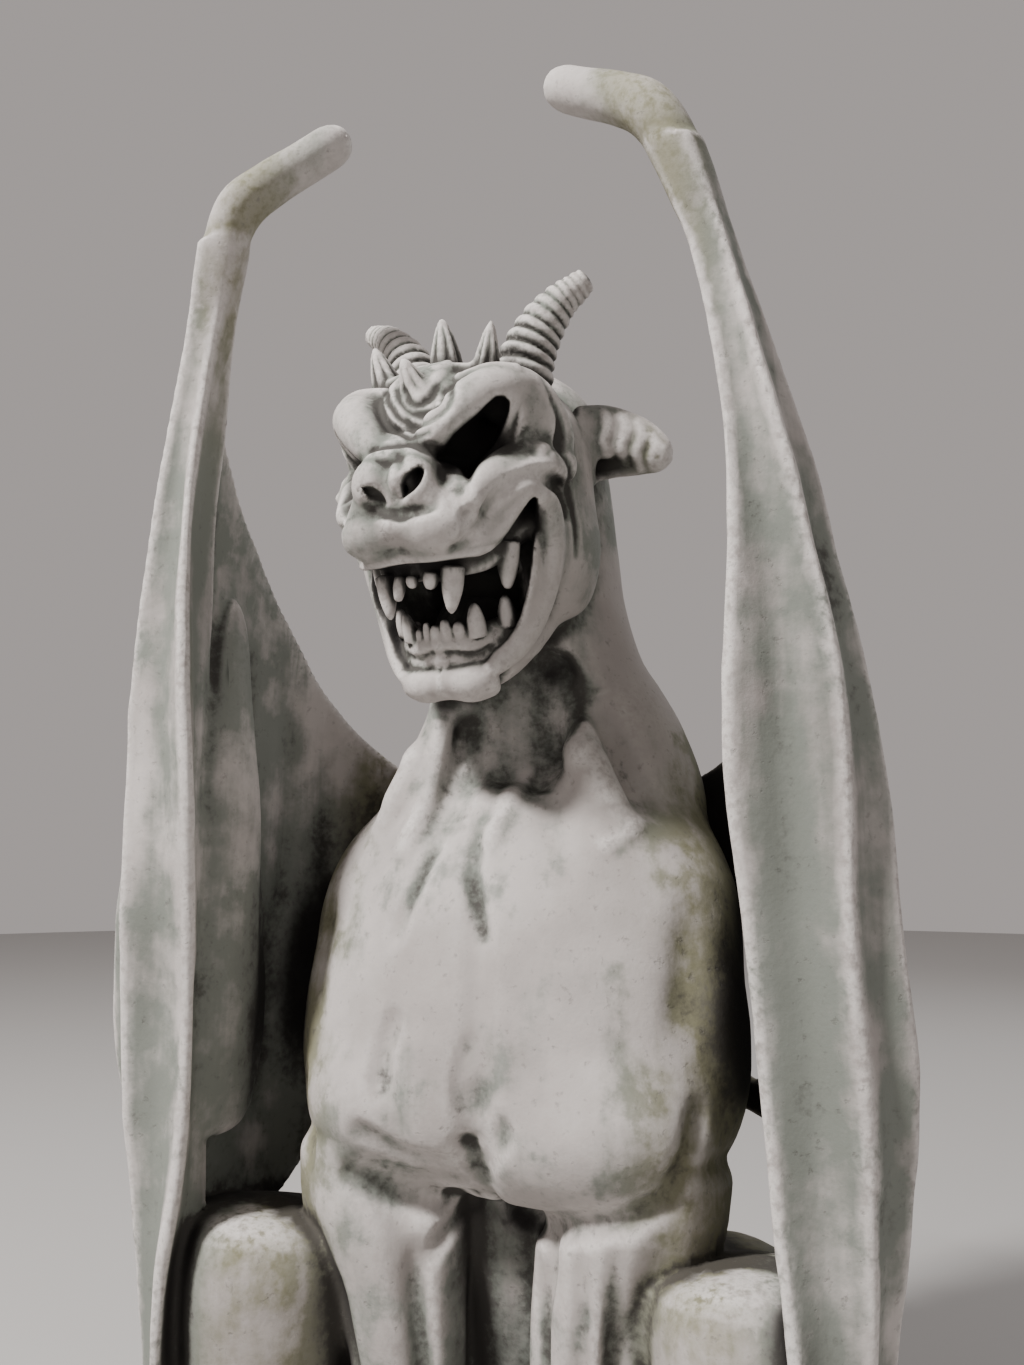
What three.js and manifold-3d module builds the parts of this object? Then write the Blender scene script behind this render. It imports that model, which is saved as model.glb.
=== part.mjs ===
// A seated, winged gargoyle in cast stone, standing on a low base that is cast in one with it.
// The frame is in millimetres: +Z is up, the beast looks along -Y, and its own left side is +X.
// The origin is the middle of the base's underside. The whole figure is one solid.
import * as THREE from "three";
import { mergeVertices } from "three/addons/utils/BufferGeometryUtils.js";
import Module from "manifold-3d";

// Driving dimensions. The figure's pose and carving are shares of its height.
const FIGURE_HEIGHT = 900; // underside of the base to the top of the wing claws
const BASE_WIDTH = 500;
const BASE_DEPTH = 380;
const BASE_THICKNESS = 34;
const BASE_CHAMFER = 7;
const WING_THICKNESS = 13; // the wing's skin, from its inner face to its outer face

const SHARE = FIGURE_HEIGHT / 100; // one hundredth of the height, the unit of every table below
const BASE_TOP = BASE_THICKNESS / SHARE;
const SUNK = 0.6; // how far a foot sinks into the base, in hundredths

const STONE = new THREE.MeshStandardMaterial({ color: 0xb9b6ad, roughness: 0.85, metalness: 0 });

const { clamp, smoothstep, degToRad, lerp } = THREE.MathUtils;
const wasm = await Module();
wasm.setup();

// Turns a closed three.js geometry into a solid, with its faces pointing out.
function solidOf(geometry) {
  const bare = new THREE.BufferGeometry();
  bare.setAttribute("position", geometry.getAttribute("position"));
  bare.setIndex(geometry.index);
  const merged = mergeVertices(bare, 1e-3);
  const vertProperties = new Float32Array(merged.getAttribute("position").array);
  const triVerts = new Uint32Array(merged.index.array);
  const make = () => new wasm.Manifold(new wasm.Mesh({ numProp: 3, vertProperties, triVerts }));
  const solid = make();
  if (solid.volume() > 0) return solid;
  for (let i = 0; i < triVerts.length; i += 3) {
    [triVerts[i + 1], triVerts[i + 2]] = [triVerts[i + 2], triVerts[i + 1]];
  }
  return make();
}

// A solid back as a three.js geometry.
function geometryOf(solid) {
  const mesh = solid.getMesh();
  const geometry = new THREE.BufferGeometry();
  geometry.setAttribute("position", new THREE.BufferAttribute(mesh.vertProperties, 3));
  geometry.setIndex(new THREE.BufferAttribute(mesh.triVerts, 1));
  return geometry;
}

// Joins several geometries into one solid.
function joined(geometries) {
  return geometries.map(solidOf).reduce((whole, next) => whole.add(next));
}

// The same geometry on both sides of the beast, the one on its own left as given.
function pair(geometry) {
  return [geometry, geometry.clone().scale(-1, 1, 1)];
}

// Moves every vertex of a geometry to where place(x, y, z, to) puts it.
function carried(geometry, place) {
  const position = geometry.getAttribute("position");
  const to = new THREE.Vector3();
  for (let i = 0; i < position.count; i++) {
    place(position.getX(i), position.getY(i), position.getZ(i), to);
    position.setXYZ(i, to.x, to.y, to.z);
  }
  return geometry;
}

// A smooth curve through the columns of a table, read at a share from 0 to 1.
function tableCurve(rows) {
  const last = rows.length - 1;
  return (share) => {
    const at = clamp(share, 0, 1) * last;
    const i = Math.min(Math.floor(at), last - 1);
    const f = at - i;
    const before = rows[Math.max(i - 1, 0)];
    const after = rows[Math.min(i + 2, last)];
    return rows[i].map((b, column) => {
      const c = rows[i + 1][column];
      const slopeB = (c - before[column]) / 2;
      const slopeC = (after[column] - b) / 2;
      const bend = 3 * (c - b) - 2 * slopeB - slopeC;
      const close = 2 * (b - c) + slopeB + slopeC;
      return b + f * (slopeB + f * (bend + f * close));
    });
  };
}

// The columns of a table whose first column is a height, read at any height.
function atHeight(rows, height) {
  const above = rows.findIndex((row) => row[0] > height);
  const i = above < 0 ? rows.length - 2 : Math.max(above - 1, 0);
  const f = clamp((height - rows[i][0]) / (rows[i + 1][0] - rows[i][0]), 0, 1);
  return rows[i].map((value, column) => lerp(value, rows[i + 1][column], f)).slice(1);
}

// A round or oval limb. Each station is [x, y, z, half width, half depth] in hundredths of the height,
// and the half width lies along "across". An end is rounded over a share of the length. swell() adds
// flutes or rings: it takes the share along the limb and the angle round it, and gives a factor.
function limb(stations, { sides = 10, steps = 8, round = [0.1, 0.1], across = [1, 0, 0], swell } = {}) {
  const at = tableCurve(stations);
  const wide = new THREE.Vector3(...across);
  const centre = new THREE.Vector3();
  const ahead = new THREE.Vector3();
  const width = new THREE.Vector3();
  const depth = new THREE.Vector3();
  const nearby = 1e-3;
  const smallest = 0.02;
  const dome = (share, over) => Math.sqrt(Math.max(0, 1 - (1 - (over ? Math.min(share / over, 1) : 1)) ** 2));
  return carried(new THREE.CylinderGeometry(1, 1, 1, sides, steps), (x, y, z, to) => {
    const along = 0.5 - y;
    const [cx, cy, cz, halfWidth, halfDepth] = at(along);
    const [ax, ay, az] = at(Math.min(along + nearby, 1));
    const [bx, by, bz] = at(Math.max(along - nearby, 0));
    centre.set(cx, cy, cz);
    ahead.set(ax - bx, ay - by, az - bz).normalize();
    width.copy(wide).addScaledVector(ahead, -wide.dot(ahead)).normalize();
    depth.crossVectors(ahead, width);
    const cap = Math.max(dome(along, round[0]) * dome(1 - along, round[1]), smallest);
    const angle = Math.atan2(z, x);
    const reach = Math.hypot(x, z) * cap * (swell ? swell(along, angle) : 1);
    to.copy(centre)
      .addScaledVector(width, Math.cos(angle) * halfWidth * reach)
      .addScaledVector(depth, Math.sin(angle) * halfDepth * reach)
      .multiplyScalar(SHARE);
  });
}

// A ball stretched to half sizes [x, y, z] round a centre, in hundredths of the height.
function ball(centre, halves, { sides = 10, steps = 6 } = {}) {
  return new THREE.SphereGeometry(1, sides, steps)
    .scale(...halves.map((h) => h * SHARE))
    .translate(...centre.map((c) => c * SHARE));
}

// The trunk: rump, back and shoulders behind, and the long neck that rises out of them.
function trunk() {
  return limb(
    [
      [0, 10.0, 2.5, 10.5, 8.6],
      [0, 10.0, 9.0, 12.5, 9.6],
      [0, 9.4, 16.5, 12.5, 9.8],
      [0, 8.0, 26.0, 12.0, 9.5],
      [0, 7.4, 35.0, 12.2, 8.8],
      [0, 7.2, 43.0, 12.6, 8.2],
      [0.4, 6.9, 49.0, 13.2, 8.0],
      [1.0, 6.4, 54.0, 12.2, 8.4],
      [1.0, 5.8, 58.5, 10.3, 8.2],
      [0.6, 5.4, 63.0, 8.2, 7.4],
      [0.2, 5.0, 68.0, 7.2, 6.6],
      [0.1, 4.6, 73.0, 6.9, 6.3],
      [0, 3.6, 78.0, 6.6, 6.0],
      [0, 1.4, 82.6, 6.0, 5.6],
      [0, -1.2, 85.4, 4.6, 4.6],
    ],
    { sides: 12, steps: 10, round: [0, 0.08] },
  );
}

// The barrel chest, with a shallow cleft down its middle and two low pouches of breast muscle.
const CLEFT_DEPTH = 0.05;
const CLEFT_WIDTH = 0.2;

function chestCleft(along, angle) {
  const fromFront = Math.atan2(Math.cos(angle), -Math.sin(angle));
  const low = 1 - smoothstep(along, 0.1, 0.65);
  return 1 - CLEFT_DEPTH * low * Math.exp(-((fromFront / CLEFT_WIDTH) ** 2));
}

function chest() {
  return [
    limb(
      [
        [0, 1.8, 26.5, 9.5, 5.5],
        [0, 1.4, 29.0, 14.4, 8.6],
        [0, 1.0, 33.0, 16.3, 9.9],
        [0, 1.1, 38.0, 16.5, 9.7],
        [0, 1.8, 43.0, 15.9, 9.2],
        [0, 2.8, 47.5, 14.6, 8.6],
        [0, 4.0, 51.5, 12.4, 8.0],
        [0, 5.2, 55.5, 9.8, 7.4],
        [0, 6.0, 60.0, 7.6, 6.4],
      ],
      { sides: 18, steps: 9, round: [0.12, 0.06], swell: chestCleft },
    ),
    ball([6.9, -3.2, 31.8], [7.8, 6.4, 5.6]),
    ball([-6.6, -3.0, 32.4], [7.4, 6.2, 5.2]),
  ];
}

// A shoulder, and the tendon that runs down the neck into the chest.
function shoulderAndTendon() {
  const tendon = limb(
    [
      [3.4, 0.0, 70.0, 1.4, 1.6],
      [4.0, -0.8, 64.0, 1.4, 1.6],
      [5.6, -1.4, 58.0, 1.4, 1.4],
      [8.0, -2.2, 52.0, 1.2, 1.0],
    ],
    { sides: 6, steps: 4, round: [0.1, 0.3] },
  );
  return [ball([10.6, 3.6, 45.2], [4.8, 6.4, 6.2], { sides: 8, steps: 5 }), tendon];
}

// Flutes down a foreleg, deepest where the leg is thin.
const FLUTES = 5;
const FLUTE_DEPTH = 0.13;
const FLUTE_TURN = 1.2;

function flutes(along, angle) {
  const groove = (0.5 + 0.5 * Math.cos(FLUTES * angle + FLUTE_TURN)) ** 3;
  return 1 - FLUTE_DEPTH * smoothstep(along, 0.1, 0.4) * groove;
}

// One foreleg, with its elbow at the flank and a paw on the base.
function foreleg() {
  const leg = limb(
    [
      [9.4, -0.4, 31.0, 6.0, 7.0],
      [8.7, -1.0, 25.5, 6.3, 6.8],
      [7.2, -1.8, 20.0, 4.9, 5.4],
      [6.4, -2.2, 15.0, 4.0, 4.5],
      [6.1, -2.8, 10.0, 3.6, 4.0],
      [6.2, -3.6, 3.0, 4.2, 4.8],
    ],
    { sides: 15, steps: 4, round: [0.1, 0], swell: flutes },
  );
  return [leg, ...paw([6.4, -5.4], 4.5, 8.4)];
}

// A paw: a low pad, and toes side by side that end in claws.
const TOES = 3;

function paw([x, y], halfWidth, reach) {
  const floor = BASE_TOP - SUNK;
  const pad = ball([x, y, floor], [halfWidth, reach * 0.6, 4.6], { sides: 8, steps: 5 });
  const pitch = (2 * halfWidth) / TOES;
  const toes = Array.from({ length: TOES }, (_, i) => {
    const off = i - (TOES - 1) / 2;
    const toeX = x + off * pitch;
    const tip = y - reach + Math.abs(off) * 0.7;
    return limb(
      [
        [toeX, y - reach * 0.2, floor + 2.9, 1.4, 1.6],
        [toeX, y - reach * 0.55, floor + 2.7, 1.6, 1.8],
        [toeX, tip + 1.6, floor + 1.7, 1.3, 1.4],
        [toeX, tip, floor + 1.4, 0.7, 0.7],
        [toeX, tip - 1.6, floor + 0.5, 0.12, 0.12],
      ],
      { sides: 5, steps: 3, round: [0.2, 0] },
    );
  });
  return [pad, ...toes];
}

// One hind leg: the haunch runs forward from the hip, and the knee stands up like a barrel.
function hindLeg() {
  const thigh = limb(
    [
      [9.6, 10.5, 10.5, 6.0, 7.8],
      [13.0, 6.5, 13.5, 6.6, 9.0],
      [16.0, 1.0, 16.5, 6.6, 7.2],
      [17.2, -3.4, 18.0, 5.8, 4.6],
    ],
    { sides: 8, steps: 4, round: [0.15, 0.25] },
  );
  const shin = limb(
    [
      [17.4, -2.8, 24.4, 6.4, 6.2],
      [17.5, -3.2, 21.0, 7.1, 7.1],
      [17.5, -3.4, 16.0, 6.6, 6.8],
      [17.6, -3.2, 10.0, 5.3, 5.8],
      [17.8, -3.0, 3.0, 4.8, 5.4],
    ],
    { sides: 12, steps: 6, round: [0.16, 0] },
  );
  return [thigh, shin, ...paw([17.8, -6.6], 4.4, 7.2)];
}

// The tail lies on the base, round the right haunch.
function tail() {
  const lie = BASE_TOP + 1.4;
  return limb(
    [
      [2.0, 17.0, lie + 1.6, 3.0, 3.0],
      [-6.0, 18.4, lie + 0.8, 2.6, 2.6],
      [-13.6, 17.0, lie + 0.4, 2.2, 2.2],
      [-20.0, 12.8, lie, 1.9, 1.9],
      [-23.2, 6.8, lie, 1.7, 1.7],
      [-24.2, 1.6, lie, 2.0, 2.6],
      [-24.6, -2.6, lie - 0.6, 0.5, 0.5],
    ],
    { sides: 6, steps: 8, round: [0.06, 0.05], across: [0, 0, 1] },
  );
}

// The wing's arm, from its foot on the base up to the elbow. Each row is a height, then in plan
// the inner front ridge, the outer front ridge, the outer heel and the inner heel.
const WING_ARM = [
  [3.2, 21.0, -9.4, 22.2, -8.6, 22.8, -6.4, 21.0, -6.4],
  [8.0, 20.4, -11.0, 22.6, -9.0, 23.6, -5.8, 20.8, -6.0],
  [14.0, 20.3, -11.8, 23.2, -9.0, 24.2, -5.6, 20.8, -6.0],
  [21.5, 20.1, -12.0, 24.0, -9.4, 25.2, -6.0, 20.8, -6.4],
  [29.0, 19.4, -11.4, 24.4, -10.4, 26.4, -7.4, 20.8, -6.6],
  [37.0, 19.0, -11.6, 24.4, -11.4, 27.2, -9.2, 21.0, -7.0],
  [45.0, 18.6, -12.6, 24.1, -12.5, 26.8, -9.8, 20.8, -7.6],
  [53.0, 18.0, -14.2, 24.3, -12.5, 26.4, -9.2, 20.8, -8.6],
  [61.0, 18.3, -14.9, 24.0, -12.9, 25.4, -9.8, 20.4, -9.4],
  [69.0, 18.7, -14.9, 22.6, -14.0, 23.9, -11.0, 19.6, -10.4],
  [77.0, 18.2, -15.1, 20.9, -15.1, 22.0, -12.2, 18.6, -11.4],
  [85.0, 16.9, -15.3, 19.2, -15.6, 19.9, -13.6, 17.0, -12.8],
  [91.5, 15.0, -15.8, 17.1, -16.8, 17.6, -15.0, 15.4, -14.2],
];
const CHANNEL_DEPTH = 0.6; // the shallow channel between the two front ridges
const EDGE_BULGE = 0.5;
const CORNER_EASE = 0.09; // rounds the four corners

function wingArm() {
  const lowest = WING_ARM[0][0];
  const highest = WING_ARM.at(-1)[0];
  return carried(new THREE.CylinderGeometry(1, 1, 1, 8, 10), (x, y, z, to) => {
    const height = lerp(lowest, highest, 0.5 + y);
    const row = atHeight(WING_ARM, height);
    const corners = [0, 2, 4, 6].map((i) => [row[i], row[i + 1]]);
    const turn = ((Math.atan2(z, x) / (2 * Math.PI) + 1) % 1) * 4;
    const side = Math.floor(turn) % 4;
    const f = turn - Math.floor(turn);
    const [ax, ay] = corners[side];
    const [bx, by] = corners[(side + 1) % 4];
    const ease = f - CORNER_EASE * Math.sin(2 * Math.PI * f);
    const bulge = Math.sin(Math.PI * f) * (side === 0 ? -CHANNEL_DEPTH : EDGE_BULGE);
    const length = Math.hypot(bx - ax, by - ay);
    const px = lerp(ax, bx, ease) + ((by - ay) / length) * bulge;
    const py = lerp(ay, by, ease) + ((ax - bx) / length) * bulge;
    const midX = corners.reduce((sum, corner) => sum + corner[0] / 4, 0);
    const midY = corners.reduce((sum, corner) => sum + corner[1] / 4, 0);
    const radial = Math.hypot(x, z);
    to.set(lerp(midX, px, radial), lerp(midY, py, radial), height).multiplyScalar(SHARE);
  });
}

// The claw at the top of the wing: a blunt finger that leans in over the head.
function wingClaw() {
  return limb(
    [
      [17.2, -14.0, 82.0, 0.7, 0.7],
      [16.9, -14.5, 87.0, 1.1, 1.1],
      [16.2, -15.3, 91.4, 1.45, 1.45],
      [14.8, -15.6, 94.4, 1.6, 1.6],
      [12.8, -15.0, 96.3, 1.55, 1.55],
      [10.3, -14.2, 98.0, 1.5, 1.5],
      [7.5, -13.4, 99.9, 1.4, 1.4],
    ],
    { sides: 7, steps: 7, round: [0.12, 0.1], across: [0, 1, 0] },
  );
}

// The wing's skin runs back from the arm, turns in behind the flank and grows out of the back.
// Each row is a place in plan, the height of its lower edge and the height of its upper edge.
const WING_SKIN = [
  [22.8, -9.6, 31.0, 84.0],
  [22.2, -7.2, 29.6, 79.5],
  [21.9, -4.8, 25.0, 76.0],
  [21.7, -2.4, 21.8, 73.0],
  [21.4, 0.0, 21.2, 70.0],
  [20.7, 2.4, 21.8, 66.6],
  [19.6, 4.8, 24.4, 63.2],
  [18.0, 7.2, 28.4, 60.2],
  [16.0, 9.4, 30.0, 57.8],
  [13.2, 11.0, 30.6, 55.8],
  [9.6, 12.0, 31.0, 54.6],
  [5.0, 12.2, 31.0, 54.0],
];
const SKIN_FLARE = 0.07; // how much wider the skin stands at its foot than at its top
const FLARE_TOP = 62;
const FLARE_REACH = 40;
const SKIN_EDGE = 0.45; // how far the skin thins at its free edges

function wingSkin() {
  const at = tableCurve(WING_SKIN);
  const half = WING_THICKNESS / SHARE / 2;
  const [startX, startY] = WING_SKIN[0];
  return carried(new THREE.BoxGeometry(1, 1, 1, 12, 4, 1), (x, y, z, to) => {
    const share = x + 0.5;
    const [planX, planY, low, high] = at(share);
    const [ax, ay] = at(Math.min(share + 0.01, 1));
    const [bx, by] = at(Math.max(share - 0.01, 0));
    const length = Math.hypot(ax - bx, ay - by);
    const height = lerp(low, high, y + 0.5);
    const [innerX, innerY, , , outerX, outerY] = atHeight(WING_ARM, height);
    const pull = (1 - share) ** 3;
    const armX = pull * ((innerX + outerX) / 2 - startX);
    const armY = pull * ((innerY + outerY) / 2 - startY);
    const flare = SKIN_FLARE * clamp((FLARE_TOP - height) / FLARE_REACH, 0, 1) * Math.min(planX / startX, 1);
    const off = 2 * z * half * (1 - SKIN_EDGE * Math.abs(2 * y) ** 6);
    to.set(
      planX * (1 + flare) + armX - ((ay - by) / length) * off,
      planY + armY + ((ax - bx) / length) * off,
      height,
    ).multiplyScalar(SHARE);
  });
}

// A second fold of skin that hangs inside the wing, behind the arm.
function wingFold() {
  return limb(
    [
      [20.0, -7.0, 68.0, 0.4, 1.0],
      [20.2, -6.2, 56.0, 1.4, 3.0],
      [20.6, -5.2, 46.0, 1.7, 3.8],
      [20.9, -4.6, 36.0, 1.8, 4.2],
      [21.2, -4.8, 29.0, 1.5, 3.6],
    ],
    { sides: 6, steps: 4 },
  );
}

// The eye-shaped opening between the wing's root and the flank.
const ROOT_OPENING = { centre: [15.6, 9.2, 38.0], halves: [2.0, 5.0, 5.6] };

function wings() {
  const parts = [wingArm(), wingClaw(), wingSkin(), wingFold()];
  const opening = ball(ROOT_OPENING.centre, ROOT_OPENING.halves);
  return joined(parts.flatMap(pair)).subtract(joined(pair(opening)));
}

// The head is laid out in its own frame, facing -Y, and is then bowed, turned and set on the neck.
const HEAD_AT = [-1.0, -6.0, 73.0];
const HEAD_BOW = 15; // degrees down
const HEAD_TURN = -7; // degrees towards the beast's right

function placeHead(geometry) {
  return geometry
    .rotateX(degToRad(HEAD_BOW))
    .rotateZ(degToRad(HEAD_TURN))
    .translate(...HEAD_AT.map((v) => v * SHARE));
}

// Skull, jaw muscles, the upper jaw with its blunt muzzle, and the cheeks that the mouth is cut into.
function skull() {
  const cheekbone = limb(
    [
      [3.9, -7.2, 0.5, 1.2, 1.2],
      [5.6, -6.0, 1.2, 1.4, 1.2],
      [7.1, -3.8, 2.1, 1.4, 1.2],
      [8.0, 0.0, 2.6, 1.2, 1.4],
    ],
    { sides: 5, steps: 3, round: [0.15, 0.15] },
  );
  const muzzle = limb(
    [
      [0, 0.0, 1.4, 6.6, 4.4],
      [0, -4.6, 0.6, 6.2, 3.4],
      [0, -7.6, 0.0, 5.2, 2.9],
      [0, -10.6, -0.6, 3.2, 2.3],
    ],
    { sides: 10, steps: 5, round: [0.1, 0.2] },
  );
  const closedMouth = limb(
    [
      [0, -4.2, -1.5, 6.5, 5.6],
      [0, -3.6, -4.5, 6.5, 5.0],
      [0, -2.8, -8.0, 5.6, 3.8],
      [0, -2.4, -10.5, 4.4, 3.2],
    ],
    { sides: 10, steps: 3, round: [0.1, 0.1] },
  );
  const jawMuscle = ball([6.0, 1.6, -2.2], [2.6, 4.4, 5.6], { sides: 8, steps: 5 });
  const lipPad = ball([2.1, -8.6, -0.9], [3.0, 2.6, 2.4], { sides: 8, steps: 5 });
  const cranium = ball([0, 2.6, 3.2], [8.1, 7.6, 7.6], { sides: 12, steps: 7 });
  return [cranium, muzzle, closedMouth, ...[jawMuscle, cheekbone, lipPad].flatMap(pair)];
}

// The heavy brows frown down to the bridge of the nose, with the furrowed forehead between them.
function brows() {
  const brow = limb(
    [
      [1.2, -8.5, 4.0, 0.8, 0.8],
      [2.4, -7.9, 4.9, 1.3, 1.2],
      [3.9, -6.5, 6.3, 1.7, 1.6],
      [5.4, -4.6, 7.4, 1.7, 1.7],
      [6.7, -2.5, 7.0, 1.5, 1.6],
      [7.4, -1.0, 5.2, 1.2, 1.4],
      [7.6, -0.6, 3.0, 1.0, 1.2],
    ],
    { sides: 6, steps: 6, across: [0, 1, 0] },
  );
  const temple = ball([4.6, -2.6, 6.6], [3.1, 3.1, 2.9], { sides: 6, steps: 4 });
  const wrinkle = (i) =>
    limb(
      [-1, -0.5, 0, 0.5, 1].map((s) => [
        s * (1.9 + 0.3 * i),
        -7.6 + 0.9 * i + 0.8 * s * s,
        5.6 + 1.2 * i + (1.6 + 0.3 * i) * s * s,
        0.5,
        0.6,
      ]),
      { sides: 4, steps: 4, round: [0.15, 0.15], across: [0, 0, 1] },
    );
  const forehead = ball([0, -2.8, 5.8], [4.7, 4.7, 4.4], { sides: 8, steps: 5 });
  return [forehead, ...[brow, temple].flatMap(pair), ...[0, 1, 2].map(wrinkle)];
}

// The snout's tip: a short bridge, and a rounded nose with a groove between its two wings.
function nose() {
  const bridge = limb(
    [
      [0, -6.5, 4.4, 2.7, 1.7],
      [0, -8.2, 3.4, 2.7, 1.8],
      [0, -9.7, 2.4, 2.3, 1.8],
    ],
    { sides: 6, steps: 3, round: [0.2, 0.3] },
  );
  return [bridge, ...pair(ball([1.5, -9.4, 1.9], [1.7, 1.95, 1.95], { sides: 8, steps: 5 }))];
}

// The lower jaw: a trough with a jutting chin.
function lowerJaw() {
  const trough = limb(
    [
      [0, 2.4, -4.6, 6.8, 4.0],
      [0, -0.6, -7.8, 6.0, 2.7],
      [0, -3.0, -9.9, 4.8, 2.0],
      [0, -5.2, -10.9, 3.7, 1.5],
    ],
    { sides: 10, steps: 5, round: [0.08, 0.16] },
  );
  const chin = limb(
    [
      [-3.4, -5.0, -11.0, 1.2, 1.3],
      [-1.7, -5.9, -11.3, 1.4, 1.4],
      [0, -6.1, -11.0, 1.2, 1.2],
    ],
    { sides: 6, steps: 4, round: [0.2, 0], across: [0, 0, 1] },
  );
  return [trough, ...pair(chin)];
}

// Eye sockets, nostrils and the open mouth, with its corners drawn up, are cut into the head.
function hollows() {
  const socket = limb(
    [
      [3.0, -8.6, 3.2, 0.5, 0.5],
      [4.2, -7.4, 4.2, 1.1, 1.0],
      [5.2, -6.4, 5.0, 1.3, 1.2],
      [6.1, -5.8, 6.0, 0.9, 0.9],
    ],
    { sides: 5, steps: 3, across: [0, 1, 0] },
  );
  const nostril = limb(
    [
      [1.8, -12.4, 1.9, 0.45, 0.9],
      [1.7, -11.0, 1.8, 0.45, 0.9],
      [1.6, -9.6, 1.8, 0.3, 0.5],
    ],
    { sides: 4, steps: 2, round: [0, 0.3] },
  );
  const corner = limb(
    [
      [4.8, -7.6, -3.6, 1.2, 1.0],
      [5.8, -6.2, -2.3, 1.4, 1.0],
      [6.7, -5.4, -0.9, 1.1, 0.8],
      [7.3, -5.0, -0.1, 0.5, 0.4],
    ],
    { sides: 5, steps: 3, across: [0, 1, 0] },
  );
  const mouth = limb(
    [
      [0, -12.0, -5.9, 4.0, 2.3],
      [0, -8.6, -5.8, 4.7, 2.8],
      [0, -5.6, -5.4, 6.2, 3.8],
      [0, -3.0, -4.6, 5.4, 4.2],
      [0, 0.6, -3.6, 4.0, 3.0],
    ],
    { sides: 10, steps: 4, round: [0, 0.2] },
  );
  return [mouth, ...[socket, nostril, corner].flatMap(pair)];
}

// The rolls of flesh: one over the cheek, and the lip, which runs from the muzzle back and up to the
// mouth's corner and then down to the chin. The gums lie inside the lips.
function lipsAndGums() {
  const cheekRoll = limb(
    [
      [4.4, -9.2, -0.2, 0.6, 0.6],
      [5.0, -7.4, 1.4, 0.9, 0.9],
      [5.8, -5.2, 2.7, 1.0, 1.0],
      [7.8, -3.3, 3.1, 0.7, 0.7],
    ],
    { sides: 4, steps: 3 },
  );
  const lip = limb(
    [
      [-0.3, -9.8, -2.7, 0.6, 0.6],
      [3.0, -8.4, -2.6, 0.7, 0.7],
      [5.0, -6.2, -1.3, 0.85, 0.85],
      [6.7, -4.9, 0.4, 0.85, 0.85],
      [7.3, -3.5, 0.3, 0.85, 0.85],
      [7.1, -2.3, -1.2, 0.95, 0.95],
      [6.8, -2.2, -3.1, 1.0, 1.0],
      [6.2, -2.5, -5.4, 1.0, 1.0],
      [5.3, -3.3, -7.5, 1.0, 1.0],
      [4.3, -4.6, -9.4, 0.95, 0.95],
      [3.0, -6.0, -10.6, 0.85, 0.85],
    ],
    { sides: 5, steps: 11, round: [0, 0], across: [0, 1, 0] },
  );
  const upperGum = limb(
    [
      [-0.4, -8.6, -3.9, 0.75, 0.8],
      [2.2, -8.0, -4.0, 0.8, 0.9],
      [3.8, -6.2, -3.6, 0.8, 1.0],
      [4.8, -4.2, -2.6, 0.9, 1.1],
      [5.8, -1.4, -0.6, 1.2, 1.4],
    ],
    { sides: 4, steps: 4, round: [0, 0], across: [0, 1, 0] },
  );
  const lowerGum = limb(
    [
      [-0.4, -6.1, -8.9, 0.7, 0.9],
      [1.6, -5.7, -8.9, 0.7, 0.9],
      [3.2, -4.4, -8.7, 0.7, 0.9],
      [4.5, -2.4, -7.8, 0.7, 0.9],
    ],
    { sides: 4, steps: 3, round: [0, 0], across: [0, 1, 0] },
  );
  return [cheekRoll, lip, upperGum, lowerGum].flatMap(pair);
}

// A cone of stone from its root to its blunt point: a tooth or a spike.
function cone(root, tip, thick) {
  return limb(
    [
      [...root, thick, thick * 0.9],
      [...tip, thick * 0.25, thick * 0.25],
    ],
    { sides: 4, steps: 1, round: [0, 0], across: [1, 0, 0.01] },
  );
}

// Fangs above and below, and a row of small incisors in the lower jaw.
function teeth() {
  return [
    [[2.5, -8.3, -3.6], [2.4, -8.6, -6.7], 0.85],
    [[4.9, -4.6, -2.6], [4.9, -5.0, -5.9], 0.8],
    [[2.0, -5.8, -8.7], [2.1, -6.2, -5.8], 0.75],
    [[3.5, -4.4, -8.4], [3.6, -4.8, -6.0], 0.65],
    [[1.2, -8.9, -3.9], [1.1, -9.1, -5.7], 0.5],
    [[0.38, -6.4, -9.0], [0.4, -6.8, -6.6], 0.5],
    [[1.15, -6.2, -9.0], [1.2, -6.6, -6.5], 0.5],
  ].flatMap(([root, tip, thick]) => pair(cone(root, tip, thick)));
}

// A ringed horn that sweeps out and back.
const HORN_RINGS = 7;
const RING_HEIGHT = 0.1;

function horn() {
  return limb(
    [
      [4.0, 2.3, 8.4, 2.2, 2.2],
      [4.6, 2.7, 10.7, 2.0, 2.0],
      [5.6, 3.3, 12.7, 1.65, 1.65],
      [7.0, 3.9, 14.3, 1.3, 1.3],
      [8.2, 4.3, 15.1, 1.0, 1.0],
      [9.2, 4.5, 15.7, 0.7, 0.7],
    ],
    {
      sides: 7,
      steps: HORN_RINGS * 2,
      round: [0, 0.06],
      across: [0, 1, 0],
      swell: (along) => 1 + RING_HEIGHT * Math.cos(along * HORN_RINGS * 2 * Math.PI),
    },
  );
}

// The spikes that crown the forehead.
function spikes() {
  return [
    cone([0.1, -1.0, 8.8], [0.1, -0.9, 13.9], 1.4),
    ...pair(cone([3.4, -2.6, 7.6], [4.7, -2.5, 12.6], 1.3)),
    cone([0.3, -5.4, 7.2], [-0.2, -6.4, 10.4], 1.1),
  ];
}

// A drooping ear, ribbed across, that grows from the back of the skull.
const EAR_RIBS = 4;
const RIB_HEIGHT = 0.06;

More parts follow.
